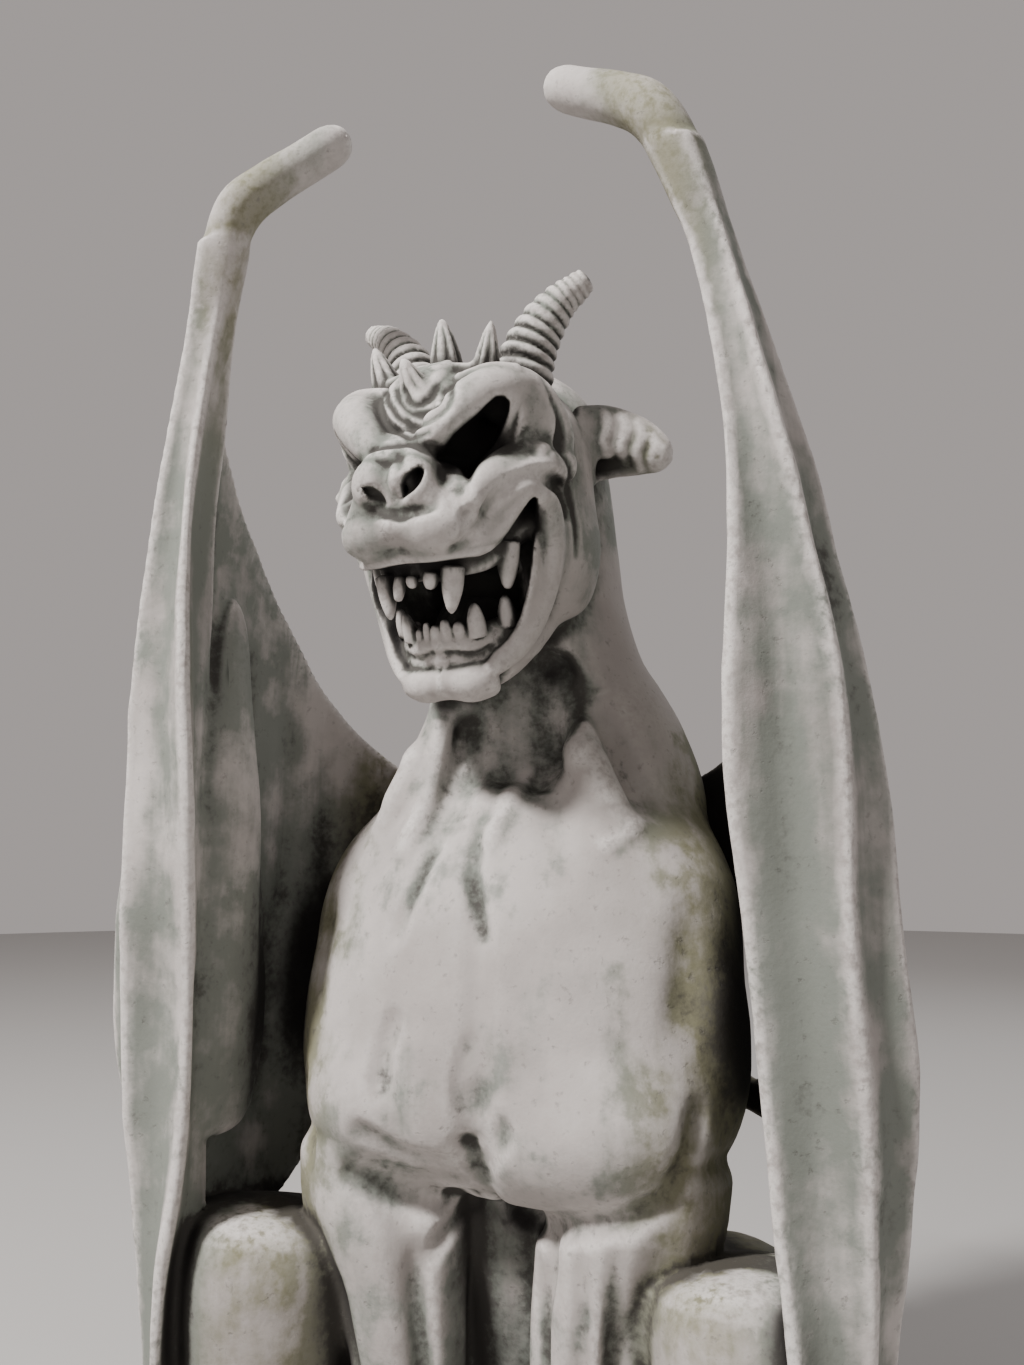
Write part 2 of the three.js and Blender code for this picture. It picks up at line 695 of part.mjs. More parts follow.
function ear() {
  return limb(
    [
      [6.2, 5.6, 4.7, 2.6, 1.7],
      [8.2, 6.6, 4.5, 2.7, 1.3],
      [9.8, 7.2, 4.1, 2.35, 1.1],
      [11.4, 7.8, 3.4, 1.75, 1.0],
      [12.8, 8.1, 2.5, 0.9, 0.8],
    ],
    {
      sides: 7,
      steps: EAR_RIBS * 2,
      round: [0.1, 0.12],
      across: [0, 0, 1],
      swell: (along) => 1 + RIB_HEIGHT * Math.cos(along * EAR_RIBS * 2 * Math.PI),
    },
  );
}

function head() {
  const built = [...skull(), ...brows(), ...nose(), ...lowerJaw()].map(placeHead);
  const cut = hollows().map(placeHead);
  const added = [...lipsAndGums(), ...teeth(), ...pair(horn()), ...spikes(), ...pair(ear())].map(placeHead);
  return joined(built).subtract(joined(cut)).add(joined(added));
}

// The low base, a slab with chamfered edges.
function base() {
  const halfWidth = BASE_WIDTH / 2 - BASE_CHAMFER;
  const halfDepth = BASE_DEPTH / 2 - BASE_CHAMFER;
  const outline = new THREE.Shape();
  outline.moveTo(-halfWidth, -halfDepth);
  outline.lineTo(halfWidth, -halfDepth);
  outline.lineTo(halfWidth, halfDepth);
  outline.lineTo(-halfWidth, halfDepth);
  outline.closePath();
  return new THREE.ExtrudeGeometry(outline, {
    depth: BASE_THICKNESS - 2 * BASE_CHAMFER,
    bevelThickness: BASE_CHAMFER,
    bevelSize: BASE_CHAMFER,
    bevelSegments: 1,
  }).translate(0, 0, BASE_CHAMFER);
}

// Everything under the base, which is cut away so that the underside is flat.
function ground() {
  return new THREE.BoxGeometry(2 * BASE_WIDTH, 2 * BASE_DEPTH, FIGURE_HEIGHT).translate(0, 0, -FIGURE_HEIGHT / 2);
}

function gargoyle() {
  const body = joined([trunk(), ...chest(), tail(), base()]);
  const limbs = joined([...shoulderAndTendon(), ...foreleg(), ...hindLeg()].flatMap(pair));
  return body.add(limbs).add(wings()).add(head()).subtract(solidOf(ground()));
}

const figure = new THREE.Mesh(geometryOf(gargoyle()), STONE);
figure.name = "gargoyle";

const group = new THREE.Group();
group.add(figure);
export default group;
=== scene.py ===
# %% [markdown]
# # A winged gargoyle in cast stone
# The real statue was modelled in clay, moulded, and poured in one piece of fine concrete. It was then
# washed with a grey-green stain and rubbed back, so the stain stays only in the hollows.
# Polygons pushed about by hand could make such a beast, but its lumps have to flow into each other
# without a seam. So this lesson models it as the sculptor did: lumps of clay are pressed together,
# grooves are cut with a tool, and one skin is drawn over the whole at the end.

# %% Load the frame
import time

import bpy
import numpy as np
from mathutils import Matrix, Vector


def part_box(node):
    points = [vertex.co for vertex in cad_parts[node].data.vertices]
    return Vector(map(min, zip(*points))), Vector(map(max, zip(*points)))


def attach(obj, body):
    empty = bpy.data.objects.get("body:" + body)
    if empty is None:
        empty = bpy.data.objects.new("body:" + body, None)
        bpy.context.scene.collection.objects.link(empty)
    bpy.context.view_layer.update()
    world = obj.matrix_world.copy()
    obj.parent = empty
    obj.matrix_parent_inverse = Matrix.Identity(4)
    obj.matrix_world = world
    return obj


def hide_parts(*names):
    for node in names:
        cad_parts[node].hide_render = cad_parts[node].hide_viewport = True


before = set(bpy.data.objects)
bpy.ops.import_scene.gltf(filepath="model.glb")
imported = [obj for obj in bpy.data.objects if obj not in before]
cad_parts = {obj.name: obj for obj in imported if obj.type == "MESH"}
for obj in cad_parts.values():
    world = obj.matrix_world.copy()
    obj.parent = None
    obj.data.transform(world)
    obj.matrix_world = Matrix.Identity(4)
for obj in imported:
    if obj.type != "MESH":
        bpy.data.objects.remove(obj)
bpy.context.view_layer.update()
low_corner, high_corner = (np.array(corner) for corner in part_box("gargoyle"))
HEIGHT = high_corner[2] - low_corner[2]
SHARE = HEIGHT / 100
HALF_WIDTH, HALF_DEPTH = (high_corner - low_corner)[:2] / 2 / SHARE
started = time.time()
print(f"the statue is {HEIGHT:.3f} m tall, and one share of it is {SHARE * 1000:.2f} mm")

# %% [markdown]
# ## A block of clay that numpy can hold
# The clay is a grid of points in space. Each point holds its distance to the surface, in hundredths
# of the statue's height, and the number is below zero inside. Adding a lump is then the smaller of
# two distances, cutting is the larger, and a little rounding between them makes the soft joins
# of modelling clay. The grid is finer round the head, where the carving is small.

# %% The grid
FAR = 9.0
QUICK = 1.0
FINE_STEP = 0.142 * QUICK
COARSE_STEP = 0.285 * QUICK
SPACE = ((-28.6, 28.6), (-21.9, 21.9), (-0.9, 101.2))
HEAD_ZONE = ((-13.6, 12.6), (-17.6, 4.6), (57.5, 92.0))


def graded(low, high, fine_low, fine_high):
    """Positions along one axis, with small steps between the two fine marks and larger ones outside."""
    before = np.linspace(low, fine_low, int((fine_low - low) / COARSE_STEP), endpoint=False)
    fine = np.linspace(fine_low, fine_high, int((fine_high - fine_low) / FINE_STEP), endpoint=False)
    after = np.linspace(fine_high, high, int((high - fine_high) / COARSE_STEP))
    return np.concatenate([before, fine, after]).astype(np.float32)


axes = [graded(*space, *zone) for space, zone in zip(SPACE, HEAD_ZONE)]
clay = np.full([len(axis) for axis in axes], FAR, np.float32)
print(f"the clay has {clay.size / 1e6:.1f} million grid points")


# %% Looking into the grid
def window(low, high):
    """The grid points between two corners: their slices, and X, Y and Z as arrays that spread out
    by themselves."""
    spans = tuple(slice(*np.searchsorted(axis, pair)) for axis, pair in zip(axes, zip(low, high)))
    x, y, z = (axis[span] for axis, span in zip(axes, spans))
    return spans, x[:, None, None], y[None, :, None], z[None, None, :]


def side_window(side, low, high):
    """A window between two corners that are given for the side of positive X, on the side asked for."""
    left, right = sorted((side * low[0], side * high[0]))
    return window((left, *low[1:]), (right, *high[1:]))


def read(points):
    """The distance held at any points: each is worked out from the eight grid points round it."""
    base, part = [], []
    for axis, column in zip(axes, np.asarray(points, np.float32).T):
        at = np.interp(column, axis, np.arange(len(axis), dtype=np.float32))
        low = np.clip(at.astype(int), 0, len(axis) - 2)
        base.append(low)
        part.append(at - low)
    total = 0.0
    for i in (0, 1):
        for j in (0, 1):
            for k in (0, 1):
                weight = 1.0
                for side, share in zip((i, j, k), part):
                    weight = weight * (share if side else 1 - share)
                total = total + weight * clay[base[0] + i, base[1] + j, base[2] + k]
    return total


def slope(points, reach=0.2):
    """Which way the distance grows at some points, from the difference across a short reach."""
    steps = np.eye(3) * reach
    columns = [read(points + step) - read(points - step) for step in steps]
    grown = np.stack(columns, axis=1)
    return grown / np.maximum(np.linalg.norm(grown, axis=1, keepdims=True), 1e-6)


def onto_surface(points, rounds=6):
    """Slides points to the surface of the clay, along the slope and by the distance held there."""
    points = np.array(points, float)
    for _ in range(rounds):
        points -= slope(points) * read(points)[:, None] * 0.9
    return points


# %% Adding and cutting
def soft_min(a, b, blend):
    """The smaller of two distances, less h squared over four times the blend.
    h is the blend less the gap between the distances, and nothing where they are further apart."""
    overlap = np.maximum(blend - np.abs(a - b), 0)
    return np.minimum(a, b) - overlap * overlap / (4 * blend)


def add(lump, blend=1.0):
    """Presses a lump into the clay, with its edge smoothed over the blend."""
    spans, distance = lump
    clay[spans] = soft_min(clay[spans], distance, blend)


def cut(lump, blend=0.5):
    """Takes a lump out of the clay, with its rim rounded over the blend."""
    spans, distance = lump
    clay[spans] = -soft_min(-clay[spans], distance, blend)


def mirrored(rows):
    """The same rows on the other side of the beast."""
    return [[-row[0], *row[1:]] for row in rows]


SIDES = ((1, lambda rows: rows), (-1, mirrored))

# %% [markdown]
# ## Two lumps do most of the work
# A *limb* is an oval section carried along a smooth curve through a table of stations. A *ball* is
# a stretched sphere. Between them they make trunk, legs, brows, lips and horns, as rolls and pellets
# of clay do on the modelling stand.

# %% Smooth curves through tables
def smooth_rows(rows, count):
    """Rows read along a Catmull-Rom curve. Each stretch is a cubic, and its slope at a row is half
    the gap between that row's neighbours."""
    rows = np.array(rows, float)
    padded = np.concatenate([rows[:1], rows, rows[-1:]])
    at = np.linspace(0, len(rows) - 1, count)
    i = np.minimum(at.astype(int), len(rows) - 2)
    f = (at - i)[:, None]
    before, b, c, after = (padded[i + k] for k in range(4))
    slope_b, slope_c = (c - before) / 2, (after - b) / 2
    bend, close = 3 * (c - b) - 2 * slope_b - slope_c, 2 * (b - c) + slope_b + slope_c
    return b + f * (slope_b + f * (bend + f * close))


def unit(vectors):
    """Vectors made one long."""
    return vectors / np.maximum(np.linalg.norm(vectors, axis=-1, keepdims=True), 1e-9)


def dome(share, over):
    """How wide a rounded end is: a quarter circle over the first part of the length."""
    return np.sqrt(np.maximum(1 - (1 - np.clip(share / over, 0, 1)) ** 2, 1e-4))


# %% The limb
def limb(stations, across=(1, 0, 0), ends=(0.1, 0.1), swell=None, steps=5, margin=2.0):
    """An oval limb. Each station is x, y, z, half width, half depth, and the half width lies along
    "across". A point's section is found between the two planes that cross the curve before and after
    it. Its distance is e - 1 scaled back to a length, where e is its place in the oval: 1 on the skin."""
    count = steps * (len(stations) - 1) + 1
    rows = smooth_rows(stations, count)
    centre, radii = rows[:, :3], np.maximum(rows[:, 3:], 0.03)
    ahead = unit(np.gradient(centre, axis=0))
    width = unit(np.array(across) - ahead * (ahead @ np.array(across))[:, None])
    depth = np.cross(ahead, width)
    reach = radii.max() + margin
    spans, *_ = window(centre.min(0) - reach, centre.max(0) + reach)
    held = np.full([span.stop - span.start for span in spans], FAR, np.float32)
    for i in range(count - 1):
        a, b = centre[i], centre[i + 1]
        reach = radii[i : i + 2].max() + margin
        part, x, y, z = window(np.minimum(a, b) - reach, np.maximum(a, b) + reach)
        inner = tuple(slice(p.start - s.start, p.stop - s.start) for p, s in zip(part, spans))
        here, there = ahead[i], ahead[i + 1]
        over_a = (x - a[0]) * here[0] + (y - a[1]) * here[1] + (z - a[2]) * here[2]
        to_b = (b[0] - x) * there[0] + (b[1] - y) * there[1] + (b[2] - z) * there[2]
        t = np.clip(over_a / np.maximum(over_a + to_b, 1e-6), 0, 1)
        beyond = np.maximum(-over_a, 0) if i == 0 else 0
        beyond = beyond + (np.maximum(-to_b, 0) if i == count - 2 else 0)
        outside = (over_a < 0) if i > 0 else False
        outside = outside | ((to_b < 0) if i < count - 2 else False)
        px, py, pz = (axis - start - t * run for axis, start, run in zip((x, y, z), a, b - a))
        across_here, down_here = unit(width[i] + width[i + 1]), unit(depth[i] + depth[i + 1])
        u = px * across_here[0] + py * across_here[1] + pz * across_here[2]
        v = px * down_here[0] + py * down_here[1] + pz * down_here[2]
        half_u = radii[i][0] + t * (radii[i + 1] - radii[i])[0]
        half_v = radii[i][1] + t * (radii[i + 1] - radii[i])[1]
        share = (i + t) / (count - 1)
        size = 1.0
        if ends[0] and i / (count - 1) < ends[0]:
            size = size * dome(share, ends[0])
        if ends[1] and (i + 1) / (count - 1) > 1 - ends[1]:
            size = size * dome(1 - share, ends[1])
        if swell:
            size = size * swell(share, np.arctan2(v / half_v, u / half_u))
        half_u, half_v = half_u * size, half_v * size
        e = np.sqrt((u / half_u) ** 2 + (v / half_v) ** 2)
        steep = np.sqrt((u / half_u**2) ** 2 + (v / half_v**2) ** 2)
        distance = (e - 1) * np.maximum(e, 1e-3) / np.maximum(steep, 1e-3)
        distance = np.maximum(distance, -np.minimum(half_u, half_v))
        if i == 0 or i == count - 2:
            distance = np.where(beyond > 0, np.hypot(np.maximum(distance, 0), beyond), distance)
        distance = np.where(outside, FAR, distance)
        held[inner] = np.minimum(held[inner], distance)
    return spans, held


# %% The ball
def ball(centre, halves, turn=np.eye(3), margin=2.0):
    """A sphere stretched to three half sizes along the columns of "turn". The offset from its centre
    is divided by them once, which gives the length e, and twice, which gives f. The distance is e (e - 1) / f."""
    reach = max(halves) + margin
    centre = np.array(centre, float)
    spans, x, y, z = window(centre - reach, centre + reach)
    away = (x - centre[0], y - centre[1], z - centre[2])
    offsets = [sum(a * part for a, part in zip(away, column)) for column in np.array(turn).T]
    once = np.sqrt(sum((o / h) ** 2 for o, h in zip(offsets, halves)))
    twice = np.sqrt(sum((o / h**2) ** 2 for o, h in zip(offsets, halves)))
    return spans, (once - 1) * once / np.maximum(twice, 1e-3)


# %% [markdown]
# ## Marks of the tool
# Wrinkles and creases are drawn as strokes. A stroke is a line that first slides onto the surface,
# and then raises or lowers it. Its section is a bell curve, as a loop tool or a thin roll leaves.

# %% The stroke
STROKE_REACH = 2.4


def stroke(points, width, height, taper=0.25, steps=6):
    """Raises the surface along a line by "height", or lowers it where that is below zero.
    The change is height times exp(-(distance / width) squared), and it fades over each end's taper."""
    line = onto_surface(smooth_rows(points, steps * (len(points) - 1) + 1))
    shares = np.linspace(0, 1, len(line))
    fade = np.sqrt(np.clip(np.minimum(shares, 1 - shares) / taper, 0, 1))
    reach = STROKE_REACH * width
    spans, *_ = window(line.min(0) - reach, line.max(0) + reach)
    effect = np.zeros([span.stop - span.start for span in spans], np.float32)
    for i in range(len(line) - 1):
        a, b = line[i], line[i + 1]
        part, x, y, z = window(np.minimum(a, b) - reach, np.maximum(a, b) + reach)
        inner = tuple(slice(p.start - s.start, p.stop - s.start) for p, s in zip(part, spans))
        run = b - a
        t = ((x - a[0]) * run[0] + (y - a[1]) * run[1] + (z - a[2]) * run[2]) / max(run @ run, 1e-9)
        t = np.clip(t, 0, 1)
        apart = sum((axis - start - t * part) ** 2 for axis, start, part in zip((x, y, z), a, run))
        strength = (fade[i] + t * (fade[i + 1] - fade[i])) * np.exp(-apart / width**2)
        effect[inner] = np.maximum(effect[inner], strength)
    clay[spans] -= height * effect


# %% [markdown]
# ## Where the camera stands
# The picture was taken from a pace away, a little to the beast's left and at the height of its
# chest, looking slightly up. The same numbers place the camera at the end. They also let a mark be
# drawn where the picture shows it: a ray from the camera through a pixel is followed to the clay.

# %% The camera's numbers
CAMERA_AWAY = 79.5
CAMERA_EYE = 49.3
CAMERA_YAW = np.radians(20)
CAMERA_PITCH = np.radians(9)
FOCAL_PIXELS = 1071
PHOTO_WIDTH, PHOTO_HEIGHT = 1024, 1365
ahead_level = np.array([-np.sin(CAMERA_YAW), np.cos(CAMERA_YAW), 0])
camera_place = np.array([0, 0, CAMERA_EYE]) - CAMERA_AWAY * ahead_level
camera_ahead = ahead_level * np.cos(CAMERA_PITCH) + np.array([0, 0, np.sin(CAMERA_PITCH)])
camera_right = np.array([np.cos(CAMERA_YAW), np.sin(CAMERA_YAW), 0])
camera_up = np.cross(camera_right, camera_ahead)
RAY_START = 40.0
RAY_ROUNDS = 90
RAY_CAUTION = 0.8
LONGEST_BACK, LONGEST_STEP = -0.5, 2.5


def seen(pixels):
    """Where rays through pixels meet the clay. Each ray steps forward by RAY_CAUTION times the distance
    that the clay holds there, and back where that is below zero."""
    across, down = np.array(pixels, float).T
    rays = camera_ahead + np.outer((across - PHOTO_WIDTH / 2) / FOCAL_PIXELS, camera_right)
    rays = unit(rays - np.outer((down - PHOTO_HEIGHT / 2) / FOCAL_PIXELS, camera_up))
    far = np.full(len(rays), RAY_START)
    for _ in range(RAY_ROUNDS):
        held = read(camera_place + rays * far[:, None])
        far += np.clip(held * RAY_CAUTION, LONGEST_BACK, LONGEST_STEP)
    return camera_place + rays * far[:, None]


# %% [markdown]
# ## Trunk, chest and shoulders
# The trunk is one upright limb from the rump to the top of the neck. The barrel chest leans out in
# front of it, with two low pouches of breast muscle that crease where they meet the forelegs.

# %% Trunk and chest
TRUNK = [
    [0, 10.0, 2.5, 10.5, 8.6],
    [0, 10.0, 9.0, 12.5, 9.6],
    [0, 9.4, 16.5, 12.5, 9.8],
    [0, 8.0, 26.0, 12.0, 9.5],
    [0, 7.4, 35.0, 12.2, 8.8],
    [0, 7.2, 43.0, 12.6, 8.2],
    [0.4, 6.9, 49.0, 13.2, 8.0],
    [1.0, 6.4, 54.0, 12.2, 8.4],
    [1.0, 5.8, 58.5, 10.3, 8.2],
    [0.6, 5.4, 63.0, 8.2, 7.4],
    [0.2, 5.0, 68.0, 7.2, 6.6],
    [0.1, 4.6, 73.0, 6.9, 6.3],
    [0, 3.6, 78.0, 6.6, 6.0],
    [0, 1.4, 82.6, 6.0, 5.6],
    [0, -1.2, 85.4, 4.6, 4.6],
]
add(limb(TRUNK, ends=(0, 0.08)))
CHEST = [
    [0, 1.8, 26.5, 9.5, 5.5],
    [0, 1.4, 29.0, 14.4, 8.6],
    [0, 1.0, 33.0, 16.3, 9.9],
    [0, 1.1, 38.0, 16.5, 9.7],
    [0, 1.8, 43.0, 15.9, 9.2],
    [0, 2.8, 47.5, 14.6, 8.6],
    [0, 4.0, 51.5, 12.4, 8.0],
    [0, 5.2, 55.5, 9.8, 7.4],
    [0, 6.0, 60.0, 7.6, 6.4],
]
add(limb(CHEST, ends=(0.12, 0.06)), blend=2.0)
add(ball([6.9, -3.2, 31.8], [7.8, 6.4, 5.6]), blend=1.6)
add(ball([-6.6, -3.0, 32.4], [7.4, 6.2, 5.2]), blend=1.6)
print(f"trunk and chest after {time.time() - started:.0f} s")

# %% Shoulders and tendons
for side in (1, -1):
    add(ball([10.6 * side, 3.6, 45.2], [4.8, 6.4, 6.2]), blend=2.5)
TENDON = [
    [3.4, 0.0, 70.0, 1.2, 1.4],
    [4.0, -0.8, 64.0, 1.2, 1.4],
    [5.6, -1.4, 58.0, 1.2, 1.2],
    [8.0, -2.2, 52.0, 1.0, 0.8],
]
for tendon in (TENDON, mirrored(TENDON)):
    add(limb(tendon, ends=(0.1, 0.3)), blend=2.2)

# %% [markdown]
# ## Legs, paws and tail
# The forelegs stand like fluted posts. The hind legs fold under the body, so only their round
# knees show in front. Paws and tail rest on the base.

# %% Legs
BASE_TOP = 3.78
SUNK = 0.6
FLUTES = 5
FLUTE_TURN = 1.2
LEG_FLUTE_DEPTH = 0.13


def flutes(along, angle):
    """Grooves down the leg: one less a bell of the angle, which grows from nothing below the shoulder."""
    groove = (0.5 + 0.5 * np.cos(FLUTES * angle + FLUTE_TURN)) ** 3
    return 1 - LEG_FLUTE_DEPTH * np.clip((along - 0.1) / 0.3, 0, 1) * groove


FORELEG = [
    [9.4, -0.4, 31.0, 6.0, 7.0],
    [8.7, -1.0, 25.5, 6.3, 6.8],
    [7.2, -1.8, 20.0, 4.9, 5.4],
    [6.4, -2.2, 15.0, 4.0, 4.5],
    [6.1, -2.8, 10.0, 3.6, 4.0],
    [6.2, -3.6, 3.0, 4.2, 4.8],
]
THIGH = [
    [9.6, 10.5, 10.5, 6.0, 7.8],
    [13.0, 6.5, 13.5, 6.6, 9.0],
    [16.0, 1.0, 16.5, 6.6, 7.2],
    [17.2, -3.4, 18.0, 5.8, 4.6],
]
SHIN = [
    [17.4, -2.8, 24.4, 6.4, 6.2],
    [17.5, -3.2, 21.0, 7.1, 7.1],
    [17.5, -3.4, 16.0, 6.6, 6.8],
    [17.6, -3.2, 10.0, 5.3, 5.8],
    [17.8, -3.0, 3.0, 4.8, 5.4],
]
for _, turned in SIDES:
    add(limb(turned(FORELEG), ends=(0.1, 0), swell=flutes), blend=1.2)
    add(limb(turned(THIGH), ends=(0.15, 0.25)), blend=1.2)
    add(limb(turned(SHIN), ends=(0.16, 0)), blend=1.0)

# %% Paws and tail
TOES = 3


def paw(x, y, half_width, reach, side):
    """A low pad with toes side by side, each ending in a claw."""
    floor = BASE_TOP - SUNK
    add(ball([side * x, y, floor], [half_width, reach * 0.6, 3.0]), blend=1.0)
    pitch = 2 * half_width / TOES
    for i in range(TOES):
        off = i - (TOES - 1) / 2
        toe_x = side * (x + off * pitch)
        tip = y - reach + abs(off) * 0.7
        toe = [
            [toe_x, y - reach * 0.2, floor + 2.9, 1.4, 1.6],
            [toe_x, y - reach * 0.55, floor + 2.7, 1.6, 1.8],
            [toe_x, tip + 1.6, floor + 1.7, 1.3, 1.4],
            [toe_x, tip, floor + 1.4, 0.7, 0.7],
            [toe_x, tip - 1.6, floor + 0.5, 0.12, 0.12],
        ]
        add(limb(toe, ends=(0.2, 0)), blend=0.5)


for side in (1, -1):
    paw(6.4, -5.4, 4.5, 8.4, side)
    paw(17.8, -6.6, 4.4, 7.2, side)
lie = BASE_TOP + 1.4
TAIL = [
    [2.0, 17.0, lie + 1.6, 3.0, 3.0],
    [-6.0, 18.4, lie + 0.8, 2.6, 2.6],
    [-13.6, 17.0, lie + 0.4, 2.2, 2.2],
    [-20.0, 12.8, lie, 1.9, 1.9],
    [-23.2, 6.8, lie, 1.7, 1.7],
    [-24.2, 1.6, lie, 2.0, 2.6],
    [-24.6, -2.6, lie - 0.6, 0.5, 0.5],
]
add(limb(TAIL, across=(0, 0, 1), ends=(0.06, 0.05)), blend=0.6)
print(f"legs and tail after {time.time() - started:.0f} s")

# %% [markdown]
# ## Wings
# Each wing is an arm that stands like a flattened post in front, with a sheet of skin behind it.
# Both are worked out slice by slice: at every height the arm's section is a four-cornered shape
# and the skin's is a thin line in plan, so each slice is a flat drawing that numpy can measure.

# %% The wing's arm
WING_ARM = np.array(
    [
        [3.2, 21.0, -9.4, 22.2, -8.6, 22.8, -6.4, 21.0, -6.4],
        [8.0, 20.4, -11.0, 22.6, -9.0, 23.6, -5.8, 20.8, -6.0],
        [14.0, 20.3, -11.8, 23.2, -9.0, 24.2, -5.6, 20.8, -6.0],
        [21.5, 20.1, -12.0, 24.0, -9.4, 25.2, -6.0, 20.8, -6.4],
        [29.0, 19.4, -11.4, 24.4, -10.4, 26.4, -7.4, 20.8, -6.6],
        [37.0, 19.0, -11.6, 24.4, -11.4, 27.2, -9.2, 21.0, -7.0],
        [45.0, 18.6, -12.6, 24.1, -12.5, 26.8, -9.8, 20.8, -7.6],
        [53.0, 18.0, -14.2, 24.3, -12.5, 26.4, -9.2, 20.8, -8.6],
        [61.0, 18.3, -14.9, 24.0, -12.9, 25.4, -9.8, 20.4, -9.4],
        [69.0, 18.7, -14.9, 22.6, -14.0, 23.9, -11.0, 19.6, -10.4],
        [77.0, 18.2, -15.1, 20.9, -15.1, 22.0, -12.2, 18.6, -11.4],
        [85.0, 16.9, -15.3, 19.2, -15.6, 19.9, -13.6, 17.0, -12.8],
        [91.5, 15.0, -15.8, 17.1, -16.8, 17.6, -15.0, 15.4, -14.2],
    ]
)
ARM_ROUND = 0.4
ARM_SPACE = ((14, -19, 2.4), (29, -3, 93.5))


def arm_corners(heights):
    """The four corners of the arm's section in plan: an array of corner, x or y, and height."""
    fine = smooth_rows(WING_ARM, 8 * len(WING_ARM))
    columns = [np.interp(heights, fine[:, 0], column) for column in fine[:, 1:].T]
    return np.array(columns, np.float32).reshape(4, 2, -1)


def wing_arm(side):
    """The arm as a stack of four-sided slices. The distance to a slice is that to its nearest edge, less
    the rounding of the corners. It is below zero where a ray to the side crosses the edges an odd number
    of times."""
    spans, x, y, z = side_window(side, *ARM_SPACE)
    heights = z.ravel()
    corners = arm_corners(heights)
    middle = corners.mean(axis=0)
    spokes = corners - middle
    shrunk = middle + spokes * (1 - ARM_ROUND / np.linalg.norm(spokes, axis=1, keepdims=True))
    nearest = np.full([x.size, y.size, z.size], FAR**2, np.float32)
    inside = np.zeros(nearest.shape, bool)
    for i in range(4):
        (ax, ay), (bx, by) = shrunk[i][:, None, None, :], shrunk[(i + 1) % 4][:, None, None, :]
        ax, bx = ax * side, bx * side
        run_x, run_y = bx - ax, by - ay
        t = np.clip(((x - ax) * run_x + (y - ay) * run_y) / (run_x**2 + run_y**2), 0, 1)
        nearest = np.minimum(nearest, (x - ax - t * run_x) ** 2 + (y - ay - t * run_y) ** 2)
        level = np.where(np.abs(run_y) < 1e-6, 1e-6, run_y)
        inside ^= ((ay > y) != (by > y)) & (x < run_x * (y - ay) / level + ax)
    distance = np.sqrt(nearest) * np.where(inside, -1, 1) - ARM_ROUND
    past = np.maximum(WING_ARM[0][0] - z, z - WING_ARM[-1][0])
    return spans, np.maximum(distance, past).astype(np.float32)


WING_CLAW = [
    [18.9, -14.0, 82.0, 0.6, 0.6],
    [17.8, -14.5, 87.0, 1.0, 1.0],
    [16.5, -15.2, 91.2, 1.4, 1.4],
    [14.9, -15.6, 94.3, 1.6, 1.6],
    [12.8, -15.0, 96.3, 1.55, 1.55],
    [10.3, -14.2, 98.0, 1.5, 1.5],
    [7.5, -13.4, 99.9, 1.4, 1.4],
]
for side, turned in SIDES:
    add(wing_arm(side), blend=0.8)
    add(limb(turned(WING_CLAW), across=(0, 1, 0), ends=(0.12, 0.1)), blend=1.2)
print(f"wing arms after {time.time() - started:.0f} s")

# %% The wing's skin
WING_SKIN = [
    [22.8, -9.6, 31.0, 84.0],
    [22.2, -7.2, 29.6, 79.5],
    [21.9, -4.8, 25.0, 76.0],
    [21.7, -2.4, 21.8, 73.0],
    [21.4, 0.0, 21.2, 70.0],
    [20.7, 2.4, 21.8, 66.6],
    [19.6, 4.8, 24.4, 63.2],
    [18.0, 7.2, 28.4, 60.2],
    [16.0, 9.4, 30.0, 57.8],
    [13.2, 11.0, 30.6, 55.8],
    [9.6, 12.0, 31.0, 54.6],
    [5.0, 12.2, 31.0, 54.0],
]
WING_THICKNESS = 0.013 / SHARE
SKIN_FLARE = 0.07
SKIN_ROUND = 0.5
SKIN_SPACE = ((2, -17, 17), (29, 16, 88))
FLARE_TOP = 62
FLARE_REACH = 40


